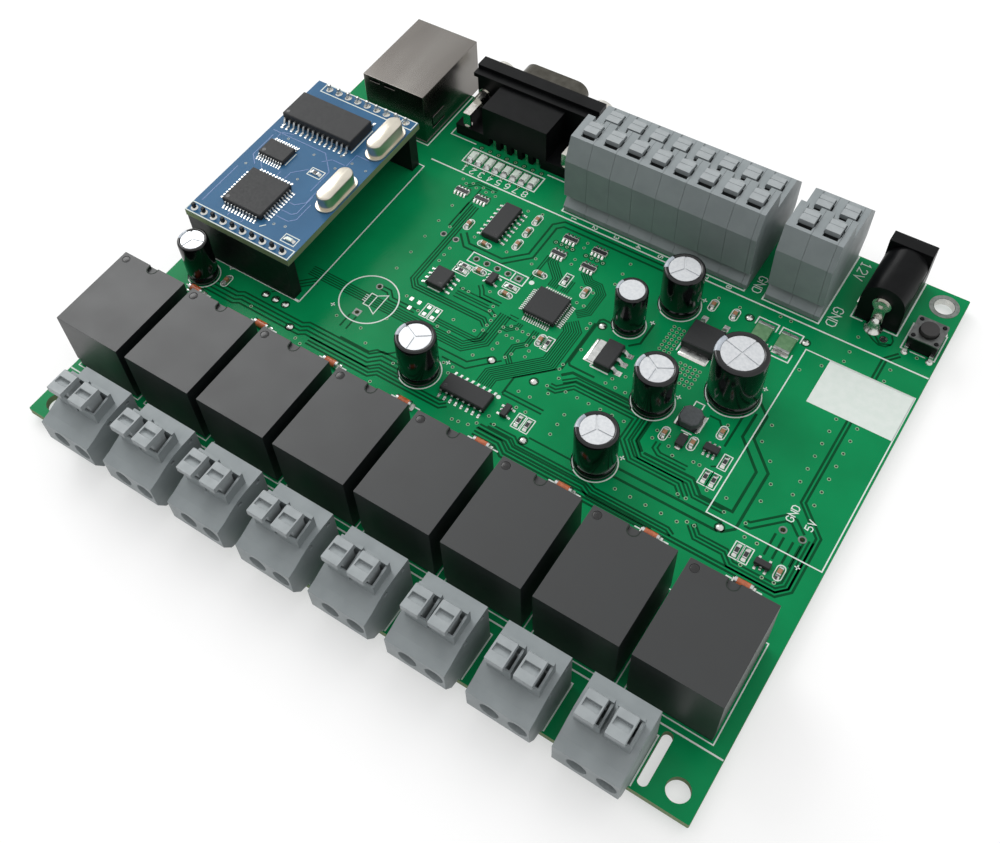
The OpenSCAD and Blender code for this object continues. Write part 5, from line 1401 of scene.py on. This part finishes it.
class RELAYBOARD_OT_switch(bpy.types.Operator):
    """Build the reset switch's base, stamped cover with its rivets, and legs"""

    bl_idname = "relayboard.switch"
    bl_label = "Reset switch"

    def execute(self, context):
        low, high = board_box("reset_switch")
        button_low, button_high = board_box("reset_button")
        x, y = (button_low[0] + button_high[0]) / 2, (button_low[1] + button_high[1]) / 2
        side = high[0] - low[0]
        well = (button_high[0] - button_low[0]) / 2 + 0.15
        base = block(side - 0.2, side - 0.2, 0.0, 1.68, 0.0, 0.3, (x, y))
        body = ring(rounded(side - 0.1, side - 0.1, 0.3, 5, (x, y)), circle(well, 24, (x, y), math.pi / 4),
                    1.66, 3.3)
        cover = ring(rounded(side, side, 0.4, 5, (x, y)), circle(well, 24, (x, y), math.pi / 4), 3.25, 3.55)
        rivets = copies(disc(0.48, 3.5, 3.72, 16, top=0.36),
                        [(x + a, y + b) for a in (-2.2, 2.2) for b in (-2.2, 2.2)])
        leg = side_profile(((side / 2 - 0.2, 1.3), (side / 2 + 0.62, 1.3), (side / 2 + 0.72, 1.15),
                            (side / 2 + 0.72, SUNK), (side / 2 + 0.45, SUNK), (side / 2 + 0.45, 1.02),
                            (side / 2 - 0.2, 1.02)), -0.35, 0.35)
        legs = joined([moved(leg, x + a, y, 0, turn) for a in (-2.4, 2.4) for turn in (0, 180)])
        feet = copies(lathe([(0.02, SUNK), (0.75, SUNK), (0.7, 0.08), (0.4, 0.4), (0.02, 0.42)], 16),
                      [(x + a, y + s * (side / 2 + 0.9)) for a in (-2.4, 2.4) for s in (-1, 1)])
        groups = [(joined([base, body, rivets]), "black"), (cover, "cover"), (legs, "lead"), (feet, "solder")]
        add_piece("reset_switch_detailed", by_finish(groups), ["reset_switch"], 35)
        return {"FINISHED"}


class RELAYBOARD_OT_stage(bpy.types.Operator):
    """Add the pale floor, the soft lamps, the even sky and the camera"""

    bl_idname = "relayboard.stage"
    bl_label = "Stage"

    def execute(self, context):
        look = context.scene.relay_stage_look
        self.add_floor(look)
        self.add_light(context, look)
        self.add_camera(context, look)
        view = context.scene.view_settings
        view.view_transform = "Standard"
        return {"FINISHED"}

    def add_floor(self, look):
        """A round floor under the solder joints, partly plain white to the camera, which thins the shade."""
        mesh = bpy.data.meshes.new("floor")
        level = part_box("solder_joints")[0][2] - 0.00005
        outline = at_height(circle(1.4, 64, (0.067, 0.054)), level)
        mesh.from_pydata(outline.tolist(), [], [list(range(64))])
        floor = bpy.data.objects.new("floor", mesh)
        bpy.context.scene.collection.objects.link(floor)
        material = bpy.data.materials.new("matt_white_card_floor")
        material.use_nodes = True
        tree = material.node_tree
        shader = tree.nodes["Principled BSDF"]
        shader.inputs["Base Color"].default_value = linear(look.floor)
        shader.inputs["Roughness"].default_value = 0.9
        shader.inputs["Specular IOR Level"].default_value = 0.1
        white = add_node(tree, "ShaderNodeEmission", {"Color": (1, 1, 1, 1), "Strength": 1.0})
        share = add_node(tree, "ShaderNodeMath", {1: look.floor_glow}, {0: background_rays(tree)},
                         operation="MULTIPLY")
        mix = add_node(tree, "ShaderNodeMixShader", {}, {0: share.outputs[0], 1: shader.outputs[0],
                                                         2: white.outputs[0]})
        tree.links.new(mix.outputs[0], tree.nodes["Material Output"].inputs["Surface"])
        mesh.materials.append(material)

    def add_light(self, context, look):
        """One lamp high at the back left, a wide one overhead, and an even sky, white to the camera."""
        centre = Vector((0.067, 0.054, 0.0))
        lamps = (
            ("high_lamp", (-0.6, 0.28, 0.55), 0.45, look.key_power),
            ("wide_lamp", (0.0, 0.12, 0.75), 1.4, look.fill_power),
        )
        for name, place, size, power in lamps:
            lamp = bpy.data.lights.new(name, "AREA")
            lamp.size = size
            lamp.energy = power
            thing = bpy.data.objects.new(name, lamp)
            thing.location = centre + Vector(place)
            thing.rotation_euler = (centre - thing.location).to_track_quat("-Z", "Y").to_euler()
            # Gloss mirrors the white surroundings, and only the lamp at the back left shows in it
            thing.visible_glossy = name == "high_lamp"
            context.scene.collection.objects.link(thing)
        world = bpy.data.worlds.new("even_sky")
        world.use_nodes = True
        tree = world.node_tree
        tree.nodes.clear()
        even = add_node(tree, "ShaderNodeBackground", {"Color": (1, 1, 1, 1), "Strength": look.sky})
        white = add_node(tree, "ShaderNodeBackground", {"Color": (1, 1, 1, 1), "Strength": 1.0})
        seen = background_rays(tree)
        mix = add_node(tree, "ShaderNodeMixShader", {}, {0: seen, 1: even.outputs[0], 2: white.outputs[0]})
        add_node(tree, "ShaderNodeOutputWorld", links={"Surface": mix.outputs[0]})
        context.scene.world = world

    def add_camera(self, context, look):
        """The camera stands to the right of the board and looks down over its output terminals."""
        camera = bpy.data.cameras.new("camera")
        camera.sensor_width = 36
        camera.lens = look.lens
        camera.shift_x = 0.049
        camera.shift_y = -0.0665
        camera.clip_start = 0.01
        thing = bpy.data.objects.new("camera", camera)
        forward = Vector((-0.36934, 0.46064, -0.80709)).normalized()
        up = Vector((-0.42432, 0.68909, 0.58746))
        side = forward.cross(up).normalized()
        up = side.cross(forward)
        turn = Matrix((side, up, -forward)).transposed().to_4x4()
        thing.matrix_world = Matrix.Translation((0.14356, -0.05698, 0.18775)) @ turn
        context.scene.collection.objects.link(thing)
        context.scene.camera = thing


class RELAYBOARD_PT_panel(bpy.types.Panel):
    """Lists the steps that build the board's looks"""

    bl_idname = "RELAYBOARD_PT_panel"
    bl_label = "Relay Board"
    bl_space_type = "VIEW_3D"
    bl_region_type = "UI"
    bl_category = "Relay Board"

    def draw(self, context):
        for look in ("relay_board_look", "relay_plastic_look", "relay_stage_look"):
            settings = getattr(context.scene, look)
            box = self.layout.box()
            for name in settings.__annotations__:
                box.prop(settings, name)
        for step in STEPS:
            self.layout.operator(step.bl_idname)


STEPS = (
    RELAYBOARD_OT_finishes, RELAYBOARD_OT_relay_marks, RELAYBOARD_OT_tracks, RELAYBOARD_OT_print,
    RELAYBOARD_OT_chips, RELAYBOARD_OT_small_parts, RELAYBOARD_OT_capacitors, RELAYBOARD_OT_controller,
    RELAYBOARD_OT_switch, RELAYBOARD_OT_stage,
)
CLASSES = (BoardLook, PlasticLook, StageLook) + STEPS + (RELAYBOARD_PT_panel,)


def register():
    for each in CLASSES:
        bpy.utils.register_class(each)
    scene = bpy.types.Scene
    scene.relay_board_look = bpy.props.PointerProperty(type=BoardLook)
    scene.relay_plastic_look = bpy.props.PointerProperty(type=PlasticLook)
    scene.relay_stage_look = bpy.props.PointerProperty(type=StageLook)


def unregister():
    scene = bpy.types.Scene
    del scene.relay_board_look, scene.relay_plastic_look, scene.relay_stage_look
    for each in reversed(CLASSES):
        bpy.utils.unregister_class(each)


def main():
    """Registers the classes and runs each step."""
    register()
    for step in STEPS:
        group, name = step.bl_idname.split(".")
        getattr(getattr(bpy.ops, group), name)()


if __name__ == "__main__":
    main()
